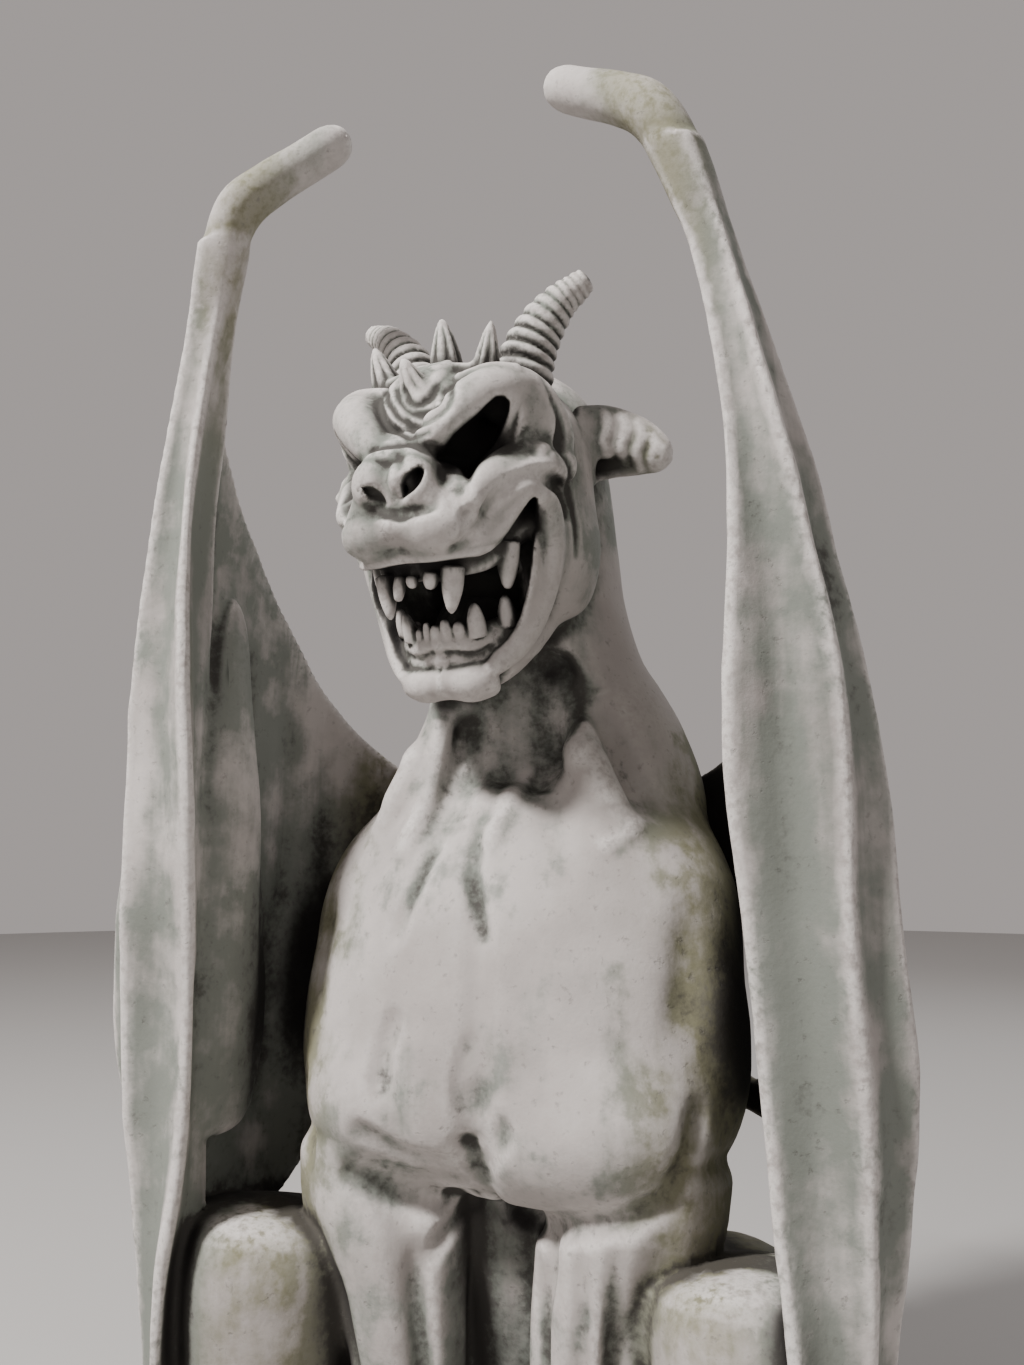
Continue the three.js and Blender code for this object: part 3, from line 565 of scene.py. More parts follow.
def wing_skin(side):
    """The skin as a thin line in each slice, of WING_THICKNESS, cut off above and below by its two edges.
    The line flares outwards towards the foot, and near the arm it follows the arm's own middle."""
    count = 6 * (len(WING_SKIN) - 1) + 1
    rows = smooth_rows(WING_SKIN, count)
    spans, x, y, z = side_window(side, *SKIN_SPACE)
    heights = z.ravel()
    corners = arm_corners(heights)
    arm_x, arm_y = (corners[0] + corners[2]) / 2
    share = np.linspace(0, 1, count)[:, None]
    pull = (1 - share) ** 3
    flare = SKIN_FLARE * np.clip((FLARE_TOP - heights) / FLARE_REACH, 0, 1)
    flared = rows[:, :1] * (1 + flare * np.minimum(rows[:, :1] / rows[0, 0], 1))
    plan_x = ((flared + pull * (arm_x - rows[0, 0])) * side).astype(np.float32)
    plan_y = rows[:, 1:2] + pull * (arm_y - rows[0, 1])
    held = np.full([x.size, y.size, z.size], FAR, np.float32)
    reach = 3.0
    for i in range(count - 1):
        ends_x, ends_y = plan_x[i : i + 2], plan_y[i : i + 2]
        low_near = (ends_x.min() - reach, ends_y.min() - reach, SKIN_SPACE[0][2])
        high_near = (ends_x.max() + reach, ends_y.max() + reach, SKIN_SPACE[1][2])
        part, *_ = window(low_near, high_near)
        inner = tuple(slice(max(p.start - s.start, 0), p.stop - s.start) for p, s in zip(part, spans))
        px, py = x[inner[0]], y[:, inner[1]]
        ax, bx, ay, by = (line[None, None, :] for line in (*ends_x, *ends_y))
        run_x, run_y = bx - ax, by - ay
        t = np.clip(((px - ax) * run_x + (py - ay) * run_y) / (run_x**2 + run_y**2), 0, 1)
        off = np.hypot(px - ax - t * run_x, py - ay - t * run_y) - WING_THICKNESS / 2
        low, high = (rows[i, c] + t * (rows[i + 1, c] - rows[i, c]) for c in (2, 3))
        past = np.maximum(low - z, z - high)
        distance = np.minimum(np.maximum(off, past) + SKIN_ROUND, 0) - SKIN_ROUND
        distance += np.hypot(np.maximum(off + SKIN_ROUND, 0), np.maximum(past + SKIN_ROUND, 0))
        held[inner[0], inner[1]] = np.minimum(held[inner[0], inner[1]], distance)
    return spans, held


WING_FOLD = [
    [20.0, -7.0, 68.0, 0.4, 1.0],
    [20.2, -6.2, 56.0, 1.4, 3.0],
    [20.6, -5.2, 46.0, 1.7, 3.8],
    [20.9, -4.6, 36.0, 1.8, 4.2],
    [21.2, -4.8, 29.0, 1.5, 3.6],
]
for side, turned in SIDES:
    add(wing_skin(side), blend=1.0)
    add(limb(turned(WING_FOLD)), blend=1.2)
    cut(ball([15.6 * side, 9.2, 38.0], [2.0, 5.0, 5.6]), blend=0.6)
print(f"wing skins after {time.time() - started:.0f} s")

# %% [markdown]
# ## The head
# The head is laid out in a frame of its own, looking straight ahead and level. Then it is bowed,
# turned a little and set on the neck. Mass comes first, then hollows, then the thin rolls and
# the teeth, in the order a modeller works, so that the last marks stay crisp.

# %% Placing the head
HEAD_AT = np.array([-1.0, -6.0, 73.0])
HEAD_BOW = np.radians(15)
HEAD_TURN = np.radians(-7)
LEVEL = np.eye(3)


def turning(axis, angle):
    """The matrix that turns about X (0), Y (1) or Z (2): cosine on the diagonal and sine off it."""
    matrix = np.eye(3)
    b, c = (axis + 1) % 3, (axis + 2) % 3
    matrix[b, b] = matrix[c, c] = np.cos(angle)
    matrix[c, b] = np.sin(angle)
    matrix[b, c] = -np.sin(angle)
    return matrix


HEAD = turning(2, HEAD_TURN) @ turning(0, HEAD_BOW)


def placed(rows):
    """Rows of the head's own frame, carried to where the head sits."""
    rows = np.array(rows, float)
    return np.concatenate([rows[:, :3] @ HEAD.T + HEAD_AT, rows[:, 3:]], axis=1)


def head_limb(rows, across=(1, 0, 0), **more):
    """A limb laid out in the head's own frame."""
    return limb(placed(rows), across=HEAD @ np.array(across, float), **more)


def head_ball(centre, halves, turn=LEVEL):
    """A ball laid out in the head's own frame."""
    return ball(placed([centre])[0], halves, HEAD @ turn)


def head_pair(rows, blend, across=(1, 0, 0), **more):
    """The same limb on both sides of the head."""
    for turned in (rows, mirrored(rows)):
        add(head_limb(turned, across=across, **more), blend)


def ball_pair(centre, halves, blend):
    """The same ball on both sides of the head."""
    for _, turned in SIDES:
        add(head_ball(*turned([centre]), halves), blend)


# %% Drawing on the head from where the camera stands
HEAD_REACH = 16.0


def on_head(pixels):
    """Where rays through pixels of the picture meet the head, in its own frame, without those
    that miss it."""
    local = (seen(pixels) - HEAD_AT) @ HEAD
    return local[np.linalg.norm(local, axis=1) < HEAD_REACH]


def head_stroke(pixels, width, height, sides=(1, -1), **more):
    """A stroke through pixels of the picture, and its mirror image on the head's other side."""
    local = on_head(pixels)
    for side in sides:
        stroke(placed(local * (side, 1, 1)), width, height, **more)


EVENING = 3
ROLL_SLOPE_REACH = 0.6


def head_roll(pixels, radii, sink, blend):
    """A roll of clay laid along pixels of the picture, sunk below the surface, and its mirror image.
    Its line is evened out first: each point takes a quarter of each neighbour and half of itself."""
    local = on_head(pixels)
    local -= slope(local @ HEAD.T + HEAD_AT, ROLL_SLOPE_REACH) @ HEAD * sink
    for _ in range(EVENING):
        local[1:-1] = (local[:-2] + 2 * local[1:-1] + local[2:]) / 4
    thick = np.interp(np.linspace(0, 1, len(local)), np.linspace(0, 1, len(radii)), radii)
    rows = np.concatenate([local, thick[:, None], thick[:, None]], axis=1)
    for _, turned in SIDES:
        add(head_limb(turned(rows.tolist()), across=(0.1, 1, 0.1), margin=1.6), blend)


OUTLINE_RIM = 0.8


def seen_through(outline, depth, side=1, room=None):
    """What the camera sees through a closed outline of the picture, down to a depth below the present
    surface, or as far as a room goes: a ball's centre and half sizes. A grid point's place in the picture
    is worked out first, and then its distance to the outline, below zero inside. Side -1 gives the same,
    mirrored."""
    loop = smooth_rows([*outline, outline[0]], 2 * len(outline) + 1)
    corners = placed(on_head(outline) * (side, 1, 1))
    spans, x, y, z = window(corners.min(0) - depth - 1, corners.max(0) + depth + 1)
    away = [x - HEAD_AT[0], y - HEAD_AT[1], z - HEAD_AT[2]]
    local = [sum(away[i] * HEAD[i, k] for i in range(3)) for k in range(3)]
    local[0] = local[0] * side
    back = [sum(local[k] * HEAD[i, k] for k in range(3)) + HEAD_AT[i] - camera_place[i] for i in range(3)]
    views = (camera_ahead, camera_right, camera_up)
    ahead, right, up = (sum(back[i] * way[i] for i in range(3)) for way in views)
    across = PHOTO_WIDTH / 2 + FOCAL_PIXELS * right / ahead
    down = PHOTO_HEIGHT / 2 - FOCAL_PIXELS * up / ahead
    nearest = np.full(across.shape, 1e9, np.float32)
    inside = np.zeros(across.shape, bool)
    for (ax, ay), (bx, by) in zip(loop[:-1], loop[1:]):
        run_x, run_y = bx - ax, by - ay
        along = (across - ax) * run_x + (down - ay) * run_y
        t = np.clip(along / max(run_x**2 + run_y**2, 1e-9), 0, 1)
        nearest = np.minimum(nearest, (across - ax - t * run_x) ** 2 + (down - ay - t * run_y) ** 2)
        if abs(run_y) > 1e-9:
            inside ^= ((ay > down) != (by > down)) & (across < run_x * (down - ay) / run_y + ax)
    edge = np.sqrt(nearest) * np.where(inside, -1, 1) * ahead / FOCAL_PIXELS
    if room is None:
        return spans, -soft_min(-edge, clay[spans] + depth, OUTLINE_RIM)
    scaled = np.sqrt(sum(((local[k] - room[0][k]) / room[1][k]) ** 2 for k in range(3)))
    return spans, -soft_min(-edge, (1 - scaled) * min(room[1]), OUTLINE_RIM)


# %% Skull, forehead and muzzle
add(head_ball([0, 2.6, 3.2], [8.1, 7.6, 7.6]), blend=1.5)
MUZZLE = [
    [0, 0.0, 1.4, 6.6, 4.4],
    [0, -4.6, 0.6, 6.2, 3.4],
    [0, -7.6, 0.0, 5.2, 2.9],
    [0, -10.6, -0.6, 3.2, 2.3],
]
add(head_limb(MUZZLE, ends=(0.1, 0.2)), blend=1.4)
add(head_ball([0, -2.8, 5.8], [4.6, 4.6, 4.3]), blend=1.4)
ball_pair([2.1, -8.5, -0.9], [2.9, 2.5, 2.3], blend=1.6)
CHEEKBONE = [
    [3.9, -7.2, 0.5, 1.2, 1.2],
    [5.6, -6.0, 1.2, 1.4, 1.2],
    [7.1, -3.8, 2.1, 1.4, 1.2],
    [8.0, 0.0, 2.6, 1.2, 1.4],
]
BROW = [
    [1.2, -8.5, 4.0, 0.8, 0.8],
    [2.4, -7.9, 4.9, 1.3, 1.2],
    [3.9, -6.5, 6.3, 1.7, 1.6],
    [5.4, -4.6, 7.4, 1.7, 1.7],
    [6.7, -2.5, 7.0, 1.5, 1.6],
    [7.4, -1.0, 5.2, 1.2, 1.4],
    [7.6, -0.6, 3.0, 1.0, 1.2],
]
ball_pair([6.0, 1.6, -2.2], [2.5, 4.4, 5.6], blend=1.5)
head_pair(CHEEKBONE, 1.0, ends=(0.15, 0.15))
head_pair(BROW, 0.9, across=(0, 1, 0))
ball_pair([4.6, -2.6, 6.6], [3.0, 3.0, 2.8], blend=1.2)

# %% Nose
NOSE_BRIDGE = [[0, -6.5, 4.4, 2.6, 1.6], [0, -8.2, 3.4, 2.6, 1.7], [0, -9.7, 2.4, 2.2, 1.7]]
add(head_limb(NOSE_BRIDGE, ends=(0.2, 0.3)), blend=0.6)
ball_pair([1.35, -9.4, 1.9], [1.55, 1.9, 1.9], blend=0.7)

# %% Lower jaw
LOWER_JAW = [
    [0, 2.4, -4.6, 6.8, 4.0],
    [0, -0.6, -7.8, 6.0, 2.7],
    [0, -3.0, -9.9, 4.8, 2.0],
    [0, -5.2, -10.9, 3.7, 1.5],
]
add(head_limb(LOWER_JAW, ends=(0.08, 0.16)), blend=1.0)
CHIN = [[-3.3, -5.0, -11.0, 1.1, 1.2], [-1.7, -5.9, -11.3, 1.3, 1.3], [0, -6.1, -11.0, 1.1, 1.1]]
head_pair(CHIN, 0.8, across=(0, 0, 1), ends=(0.2, 0))
CLOSED_MOUTH = [
    [0, -4.2, -1.5, 6.5, 5.6],
    [0, -3.6, -4.5, 6.5, 5.0],
    [0, -2.8, -8.0, 5.6, 3.8],
    [0, -2.4, -10.5, 4.4, 3.2],
]
add(head_limb(CLOSED_MOUTH, ends=(0.1, 0.1)), blend=0.8)

# %% Cheek rolls and lips
CHEEK_ROLL_SEEN = [(462, 508), (472, 490), (490, 470), (512, 452), (534, 444), (550, 452)]
head_roll(CHEEK_ROLL_SEEN, [0.5, 0.85, 1.05, 1.0, 0.8, 0.6], 0.1, 0.7)
LIP_SEEN = [
    (398, 560), (430, 561), (458, 556), (480, 546), (499, 529), (514, 508), (526, 491), (538, 483),
    (549, 492), (554, 515), (554, 545), (548, 585), (536, 625), (517, 655), (488, 674),
]
LIP_THICK = [0.5, 0.65, 0.8, 0.9, 0.95, 0.92, 0.85, 0.8, 0.85, 0.9, 1.0, 1.0, 1.0, 0.9, 0.7]
head_roll(LIP_SEEN, LIP_THICK, 0.05, 0.5)
TEMPLE_SEEN = [(512, 430), (530, 430), (547, 436)]
head_roll(TEMPLE_SEEN, [0.9, 1.2, 0.9], 0.5, 1.4)

# %% Mouth, eye sockets and nostrils
MOUTH_SEEN = [
    (366, 574), (400, 567), (440, 563), (478, 557), (500, 541), (515, 520), (529, 500), (537, 498),
    (534, 522), (532, 560), (526, 600), (515, 630), (500, 647), (478, 654), (440, 652), (408, 655),
    (386, 620), (374, 590),
]
MOUTH_REACH = 3.0
MOUTH_ROOM = ([1.8, -5.4, -4.2], [7.4, 8.6, 8.8])
for side in (1, -1):
    cut(seen_through(MOUTH_SEEN, MOUTH_REACH, side, MOUTH_ROOM), blend=0.35)
THROAT = [
    [0, -9.5, -5.6, 3.6, 2.3],
    [0, -5.6, -5.4, 4.4, 3.2],
    [0, -3.0, -4.4, 4.8, 3.6],
    [0, 0.6, -3.6, 4.0, 3.0],
]
cut(head_limb(THROAT, ends=(0, 0.2)), blend=0.5)
SOCKET_SEEN = [
    (438, 459), (454, 434), (476, 416), (496, 397), (508, 402), (504, 422), (494, 444), (478, 462),
    (469, 480), (460, 468), (448, 463),
]
SOCKET_DEPTH = 1.9
for side in (1, -1):
    cut(seen_through(SOCKET_SEEN, SOCKET_DEPTH, side), blend=0.35)
NOSTRILS_SEEN = (
    [(405, 497), (402, 485), (408, 474), (418, 467), (424, 471), (421, 482), (414, 492)],
    [(361, 486), (372, 485), (382, 492), (387, 502), (374, 500), (364, 494)],
)
NOSTRIL_DEPTHS = (1.3, 0.9)
for outline, depth in zip(NOSTRILS_SEEN, NOSTRIL_DEPTHS):
    cut(seen_through(outline, depth), blend=0.2)

# %% Gums and teeth
UPPER_GUM = [
    [-0.4, -7.9, -3.4, 0.6, 0.8],
    [2.2, -7.4, -3.4, 0.6, 0.85],
    [3.8, -5.6, -3.0, 0.65, 0.9],
    [4.7, -3.7, -1.9, 0.8, 0.9],
    [5.8, -1.4, -0.6, 1.2, 1.4],
]
LOWER_GUM = [
    [-0.4, -6.3, -8.8, 0.7, 1.2],
    [1.6, -5.9, -8.8, 0.7, 1.2],
    [3.2, -4.5, -8.5, 0.7, 1.1],
    [4.5, -2.4, -7.6, 0.7, 1.0],
]
head_pair(UPPER_GUM, 0.4, across=(0, 1, 0), ends=(0, 0.1), margin=1.4)
head_pair(LOWER_GUM, 0.4, across=(0, 1, 0), ends=(0, 0.1), margin=1.4)


def tooth(root, tip, thick, blunt=0.3, belly=0.85, blend=0.15, swell=None):
    """A tooth or a spike: a round section, "belly" times as thick halfway and "blunt" times at its tip."""
    middle = [a + 0.5 * (b - a) for a, b in zip(root, tip)]
    widths = (thick, thick * belly, thick * blunt)
    rows = [[*place, width, width] for place, width in zip((root, middle, tip), widths)]
    add(head_limb(rows, across=(1, 0, 0.01), ends=(0, 0.2), margin=1.0, swell=swell), blend)


FANGS = (
    ([2.6, -8.1, -3.6], [2.3, -8.5, -6.6], 0.8),
    ([5.0, -4.6, -2.4], [4.8, -5.0, -5.4], 0.74),
    ([2.5, -5.7, -8.2], [2.7, -6.1, -6.1], 0.64),
    ([4.0, -4.0, -7.8], [4.2, -4.4, -5.8], 0.58),
)
NIBS = (
    ([1.3, -8.7, -3.8], [1.2, -8.9, -4.9], 0.5),
    ([-1.1, -8.6, -3.8], [-1.3, -9.0, -5.5], 0.48),
    ([-0.1, -8.8, -3.9], [-0.1, -9.0, -4.7], 0.44),
    ([1.5, -6.2, -8.2], [1.55, -6.5, -7.2], 0.42),
    ([0.72, -6.5, -8.3], [0.66, -6.8, -6.9], 0.38),
    ([-0.02, -6.6, -8.3], [-0.05, -6.9, -7.2], 0.42),
    ([-0.8, -6.4, -8.3], [-0.8, -6.7, -6.9], 0.36),
    ([-1.5, -6.1, -8.2], [-1.6, -6.4, -7.3], 0.4),
)
for side in (1, -1):
    for root, tip, thick in FANGS:
        tooth([side * root[0], *root[1:]], [side * tip[0], *tip[1:]], thick)
for root, tip, thick in NIBS:
    tooth(root, tip, thick, blunt=0.6, belly=1.05)
TONGUE = [[0, -1.0, -6.4, 2.6, 1.2], [0, -3.2, -8.0, 2.4, 0.9], [0, -4.6, -8.9, 1.9, 0.6]]
add(head_limb(TONGUE, ends=(0.1, 0.2)), 0.5)

# %% Horns
HORN_RINGS = 12
RING_HEIGHT = 0.2
RING_LEAN = 0.012


def rings(along, angle):
    """Rings round a horn: a row of arches along it, each the square root of half a wave."""
    lean = RING_LEAN * np.cos(angle)
    return 1 - RING_HEIGHT + RING_HEIGHT * np.sqrt(np.abs(np.sin((along + lean) * HORN_RINGS * np.pi)))


HORN = [
    [4.0, 2.3, 8.4, 2.35, 2.35],
    [4.6, 2.7, 10.7, 2.15, 2.15],
    [5.6, 3.3, 12.7, 1.8, 1.8],
    [7.0, 3.9, 14.3, 1.4, 1.4],
    [8.2, 4.3, 15.1, 1.1, 1.1],
    [9.2, 4.5, 15.7, 0.8, 0.8],
]
head_pair(HORN, 0.5, across=(0, 1, 0), ends=(0, 0.05), swell=rings, steps=14)

# %% Spikes and the folds they stand in
SPIKES = (
    ([0.1, -1.0, 8.8], [0.1, -0.9, 13.9], 1.25),
    ([3.4, -2.6, 7.6], [4.7, -2.5, 12.6], 1.15),
    ([-3.4, -2.6, 7.6], [-4.7, -2.5, 12.6], 1.15),
    ([0.3, -5.4, 7.2], [-0.2, -6.4, 10.4], 1.0),
)
SPIKE_FLUTES = 7
FLUTE_DEPTH = 0.2


def spike_flutes(along, angle):
    """Grooves up a spike: one less a bell of the angle, that lean a little as they climb."""
    return 1 - FLUTE_DEPTH * (0.5 + 0.5 * np.cos(SPIKE_FLUTES * angle + along)) ** 2


for root, tip, thick in SPIKES:
    tooth(root, tip, thick * 1.1, blunt=0.18, belly=0.78, blend=0.35, swell=spike_flutes)
FOLDS_SEEN = (
    ([(392, 392), (404, 378), (420, 366), (436, 368), (450, 372)], 0.45),
    ([(430, 372), (446, 372), (462, 366), (474, 366)], 0.5),
    ([(455, 378), (470, 370), (486, 366), (504, 364), (522, 368)], 0.5),
)
for pixels, radius in FOLDS_SEEN:
    head_roll(pixels, [radius * 0.7, radius, radius * 0.7], 0.1, 0.4)

# %% Ears
EAR = [
    [6.2, 5.6, 4.7, 2.6, 1.7],
    [8.2, 6.6, 4.5, 2.7, 1.3],
    [9.8, 7.2, 4.1, 2.35, 1.1],
    [11.4, 7.8, 3.4, 1.75, 1.0],
    [12.8, 8.1, 2.5, 0.9, 0.8],
]
head_pair(EAR, 1.2, across=(0, 0, 1), ends=(0.1, 0.14))
for side in (1, -1):
    cut(head_ball([side * 9.6, 6.0, 2.3], [2.4, 0.9, 1.0], turning(1, side * 0.25)), 0.5)

# %% Wrinkles and creases of the face
BROW_WRINKLES_SEEN = (
    [(388, 392), (391, 408), (403, 420), (420, 424), (438, 414), (450, 396), (454, 384)],
    [(396, 390), (399, 402), (409, 412), (423, 414), (438, 402), (446, 388)],
    [(404, 390), (408, 400), (418, 405), (430, 398), (438, 386)],
    [(380, 400), (383, 418), (396, 432), (414, 436), (430, 430)],
)
WRINKLE_WIDTH, WRINKLE_DEPTH = 0.3, 0.55
for pixels in BROW_WRINKLES_SEEN:
    head_stroke(pixels, WRINKLE_WIDTH, -WRINKLE_DEPTH, sides=(1,))
NOSE_CREASES_SEEN = (
    ([(372, 452), (390, 446), (410, 444), (430, 448), (440, 458)], 0.32, -0.6),
    ([(397, 452), (399, 470), (398, 488), (397, 504)], 0.4, -0.6),
    ([(366, 505), (380, 508), (396, 514), (414, 511), (432, 505), (441, 490)], 0.36, -0.7),
)
for pixels, width, height in NOSE_CREASES_SEEN:
    head_stroke(pixels, width, height, sides=(1,))
FACE_CREASES_SEEN = (
    ([(443, 470), (447, 490), (452, 505)], 0.4, -0.6),
    ([(456, 486), (466, 504), (472, 524), (468, 542), (456, 550)], 0.5, -1.4),
    (
        [(474, 528), (488, 510), (503, 491), (520, 478), (538, 473), (552, 480), (562, 496), (566, 516)],
        0.4,
        -1.15,
    ),
    ([(541, 376), (552, 396), (560, 424), (564, 455), (568, 490), (574, 520), (576, 560)], 0.3, -0.35),
    ([(500, 452), (520, 436), (540, 432), (552, 440)], 0.5, -0.3),
    ([(534, 392), (538, 410), (536, 428)], 0.9, -0.3),
    ([(416, 660), (430, 656), (448, 654), (466, 656), (480, 652), (492, 646)], 0.25, -0.35),
)
for pixels, width, height in FACE_CREASES_SEEN:
    head_stroke(pixels, width, height)
EAR_RIDGES_SEEN = (
    [(604, 412), (607, 428), (603, 442), (609, 458)],
    [(620, 416), (626, 430), (621, 446), (624, 462)],
    [(636, 424), (641, 438), (637, 452), (640, 468)],
    [(650, 436), (655, 446), (652, 458), (653, 466)],
    [(660, 446), (664, 456), (661, 464)],
)
EAR_RIDGE_WIDTH, EAR_RIDGE_HEIGHT = 0.4, 0.32
for pixels in EAR_RIDGES_SEEN:
    head_stroke(pixels, EAR_RIDGE_WIDTH, EAR_RIDGE_HEIGHT)
print(f"head after {time.time() - started:.0f} s")

# %% [markdown]
# ## Marks on the body
# The same strokes draw the clefts of chest and belly, the tendons of the neck, the grooves of the
# forelegs and the folds of the wings. Each mark says at its end whether it is repeated on the side
# that the picture hides.

# %% Strokes on the body
BODY_MARKS_SEEN = (
    ([(474, 880), (478, 960), (478, 1040), (482, 1110)], 1.0, -0.5, False),
    ([(358, 1132), (380, 1150), (408, 1164), (446, 1172), (472, 1160)], 0.8, -1.6, False),
    ([(470, 1172), (482, 1156), (500, 1130)], 0.8, -1.7, False),
    ([(372, 1176), (410, 1190), (450, 1192), (478, 1180)], 1.9, -1.7, False),
    ([(476, 1090), (472, 1120), (474, 1156), (486, 1190)], 0.9, -1.6, False),
    ([(380, 1070), (386, 1104), (402, 1140)], 1.0, -0.5, False),
    ([(346, 1172), (396, 1194), (446, 1204), (484, 1194)], 0.7, -1.6, False),
    ([(490, 1190), (528, 1214), (575, 1228), (625, 1222), (668, 1198)], 0.7, -1.7, False),
    ([(668, 1198), (688, 1160), (700, 1110)], 0.9, -1.0, True),
    ([(476, 1200), (446, 1234), (424, 1262)], 0.6, -1.0, False),
    ([(556, 1232), (552, 1262), (546, 1300)], 0.7, -0.9, False),
    ([(438, 838), (422, 872), (404, 912), (394, 940)], 0.6, -0.7, False),
    ([(480, 836), (472, 870), (476, 905), (484, 940)], 0.6, -0.8, False),
    ([(448, 716), (436, 760), (424, 810), (404, 850)], 0.9, 1.3, False),
    ([(470, 720), (462, 770), (446, 826)], 1.1, -1.7, False),
    ([(536, 776), (546, 800), (560, 836)], 1.2, -0.8, True),
    ([(530, 770), (500, 820), (482, 850)], 0.7, 0.5, False),
    ([(560, 690), (576, 730), (598, 776), (632, 826)], 1.1, 1.1, True),
    ([(594, 690), (614, 740), (642, 796)], 1.2, -1.1, True),
    ([(640, 820), (616, 840), (600, 846)], 0.7, 0.3, False),
    ([(392, 1018), (382, 1050), (380, 1090)], 0.7, -1.1, False),
    ([(330, 905), (322, 960), (318, 1010)], 1.2, -0.4, True),
    ([(470, 1040), (458, 1080), (462, 1120)], 0.6, -0.4, False),
)


def body_stroke(pixels, width, height, both):
    """A stroke through pixels of the picture, and where it is wanted on both sides, its mirror image."""
    line = seen(pixels)
    stroke(line, width, height)
    if both:
        stroke(line * (-1, 1, 1), width, height)


THROAT_HOLLOWS = (((516, 722), [3.4, 1.7, 4.6]), ((556, 712), [1.5, 1.5, 4.0]))
for pixel, halves in THROAT_HOLLOWS:
    cut(ball(seen([pixel])[0], halves), blend=2.2)
for mark in BODY_MARKS_SEEN:
    body_stroke(*mark)
LEG_GROOVES_SEEN = (
    [(416, 1240), (418, 1300), (424, 1362)],
    [(540, 1260), (545, 1310), (548, 1362)],
    [(580, 1258), (582, 1310), (580, 1362)],
    [(616, 1250), (614, 1310), (611, 1362)],
)
GROOVE_FOOT = 7.0
GROOVE_WIDTH, GROOVE_DEPTH = 0.6, 0.6
for pixels in LEG_GROOVES_SEEN:
    line = seen(pixels)
    run = line[-1] - line[0]
    foot = line[-1] + run * (line[-1][2] - GROOVE_FOOT) / max(-run[2], 1e-6)
    stroke(np.concatenate([line, [foot]]), GROOVE_WIDTH, -GROOVE_DEPTH)
SKIN_FOLDS = (
    [(18.9, -3.0, 66.0), (19.4, -2.6, 52.0), (19.6, -2.2, 38.0), (19.8, -2.0, 26.0)],
    [(18.4, 1.0, 62.0), (18.8, 1.2, 48.0), (19.0, 1.2, 34.0), (19.2, 1.0, 24.0)],
    [(17.0, 4.4, 58.0), (17.4, 4.6, 46.0), (17.6, 4.8, 34.0)],
    [(14.6, 7.6, 55.0), (15.0, 7.8, 44.0), (15.2, 8.0, 33.0)],
    [(22.8, -4.0, 70.0), (24.6, -4.0, 54.0), (25.4, -3.6, 38.0), (25.8, -3.4, 28.0)],
    [(21.4, 2.6, 62.0), (22.4, 3.0, 48.0), (22.8, 3.2, 34.0)],
    [(18.4, 8.4, 56.0), (18.8, 9.0, 44.0), (18.8, 9.2, 32.0)],
    [(12.4, 12.6, 52.0), (12.6, 13.0, 42.0), (12.6, 13.2, 33.0)],
    [(6.4, 13.6, 51.0), (6.6, 14.0, 42.0), (6.6, 14.0, 33.0)],
)
FOLD_WIDTH, FOLD_DEPTH = 1.0, 0.34
for line in SKIN_FOLDS:
    for side in (1, -1):
        stroke(np.array(line) * (side, 1, 1), FOLD_WIDTH, -FOLD_DEPTH)

# %% Channels and ridges of the wing arms
RIDGE_STARTS, RIDGE_ENDS = 12.0, 88.0
RIDGE_COUNT = 16
heights = np.linspace(RIDGE_STARTS, RIDGE_ENDS, RIDGE_COUNT)
corners = arm_corners(heights)
ARM_MARKS = (
    (0.5, 0, 1, 1.3, -0.65),
    (0.5, 1, 2, 1.0, -0.4),
    (0.0, 0, 1, 0.6, 0.2),
    (0.0, 1, 2, 0.6, 0.25),
    (0.5, 0, 3, 1.0, -0.3),
)
for share, first, second, width, height in ARM_MARKS:
    plan = corners[first] * (1 - share) + corners[second] * share
    line = np.stack([*plan, heights], axis=1)
    for side in (1, -1):
        stroke(line * (side, 1, 1), width, height, taper=0.15, steps=3)
print(f"marks after {time.time() - started:.0f} s")

# %% [markdown]
# ## The base
# The statue stands on a plain low slab that is cast in one with it. Its edges are worn round.

# %% Base
BASE_CHAMFER = 0.007 / SHARE
BASE_ROUND = 0.35


def slab():
    """A box with worn edges: the distance outside its shrunken faces, less the rounding, or the
    distance to the chamfer's plane where that is larger."""
    spans, x, y, z = window((-29, -22, -1), (29, 22, BASE_TOP + 3))
    out_x, out_y = np.abs(x) - HALF_WIDTH + BASE_ROUND, np.abs(y) - HALF_DEPTH + BASE_ROUND
    out_z = np.abs(z - BASE_TOP / 2) - BASE_TOP / 2 + BASE_ROUND
    level = np.maximum(out_x, out_y)
    edge = np.maximum(level + out_z + BASE_CHAMFER - 2 * BASE_ROUND, -FAR) / np.sqrt(2)
    outer = np.sqrt(sum(np.maximum(out, 0) ** 2 for out in (out_x, out_y, out_z)))
    inner = np.minimum(np.maximum(level, out_z), 0)
    return spans, np.maximum(outer + inner - BASE_ROUND, edge).astype(np.float32)


add(slab(), blend=0.5)
print(f"base after {time.time() - started:.0f} s")

# %% [markdown]
# ## Drawing the skin
# Where the distance changes sign between two grid points, the surface passes. Each cell that it
# passes through gets one vertex, the mean of its crossings, and each crossed grid line gets one
# four-sided face. This is known as surface nets, and it keeps the faces even.

# %% Pinches
PRESSED = -0.01


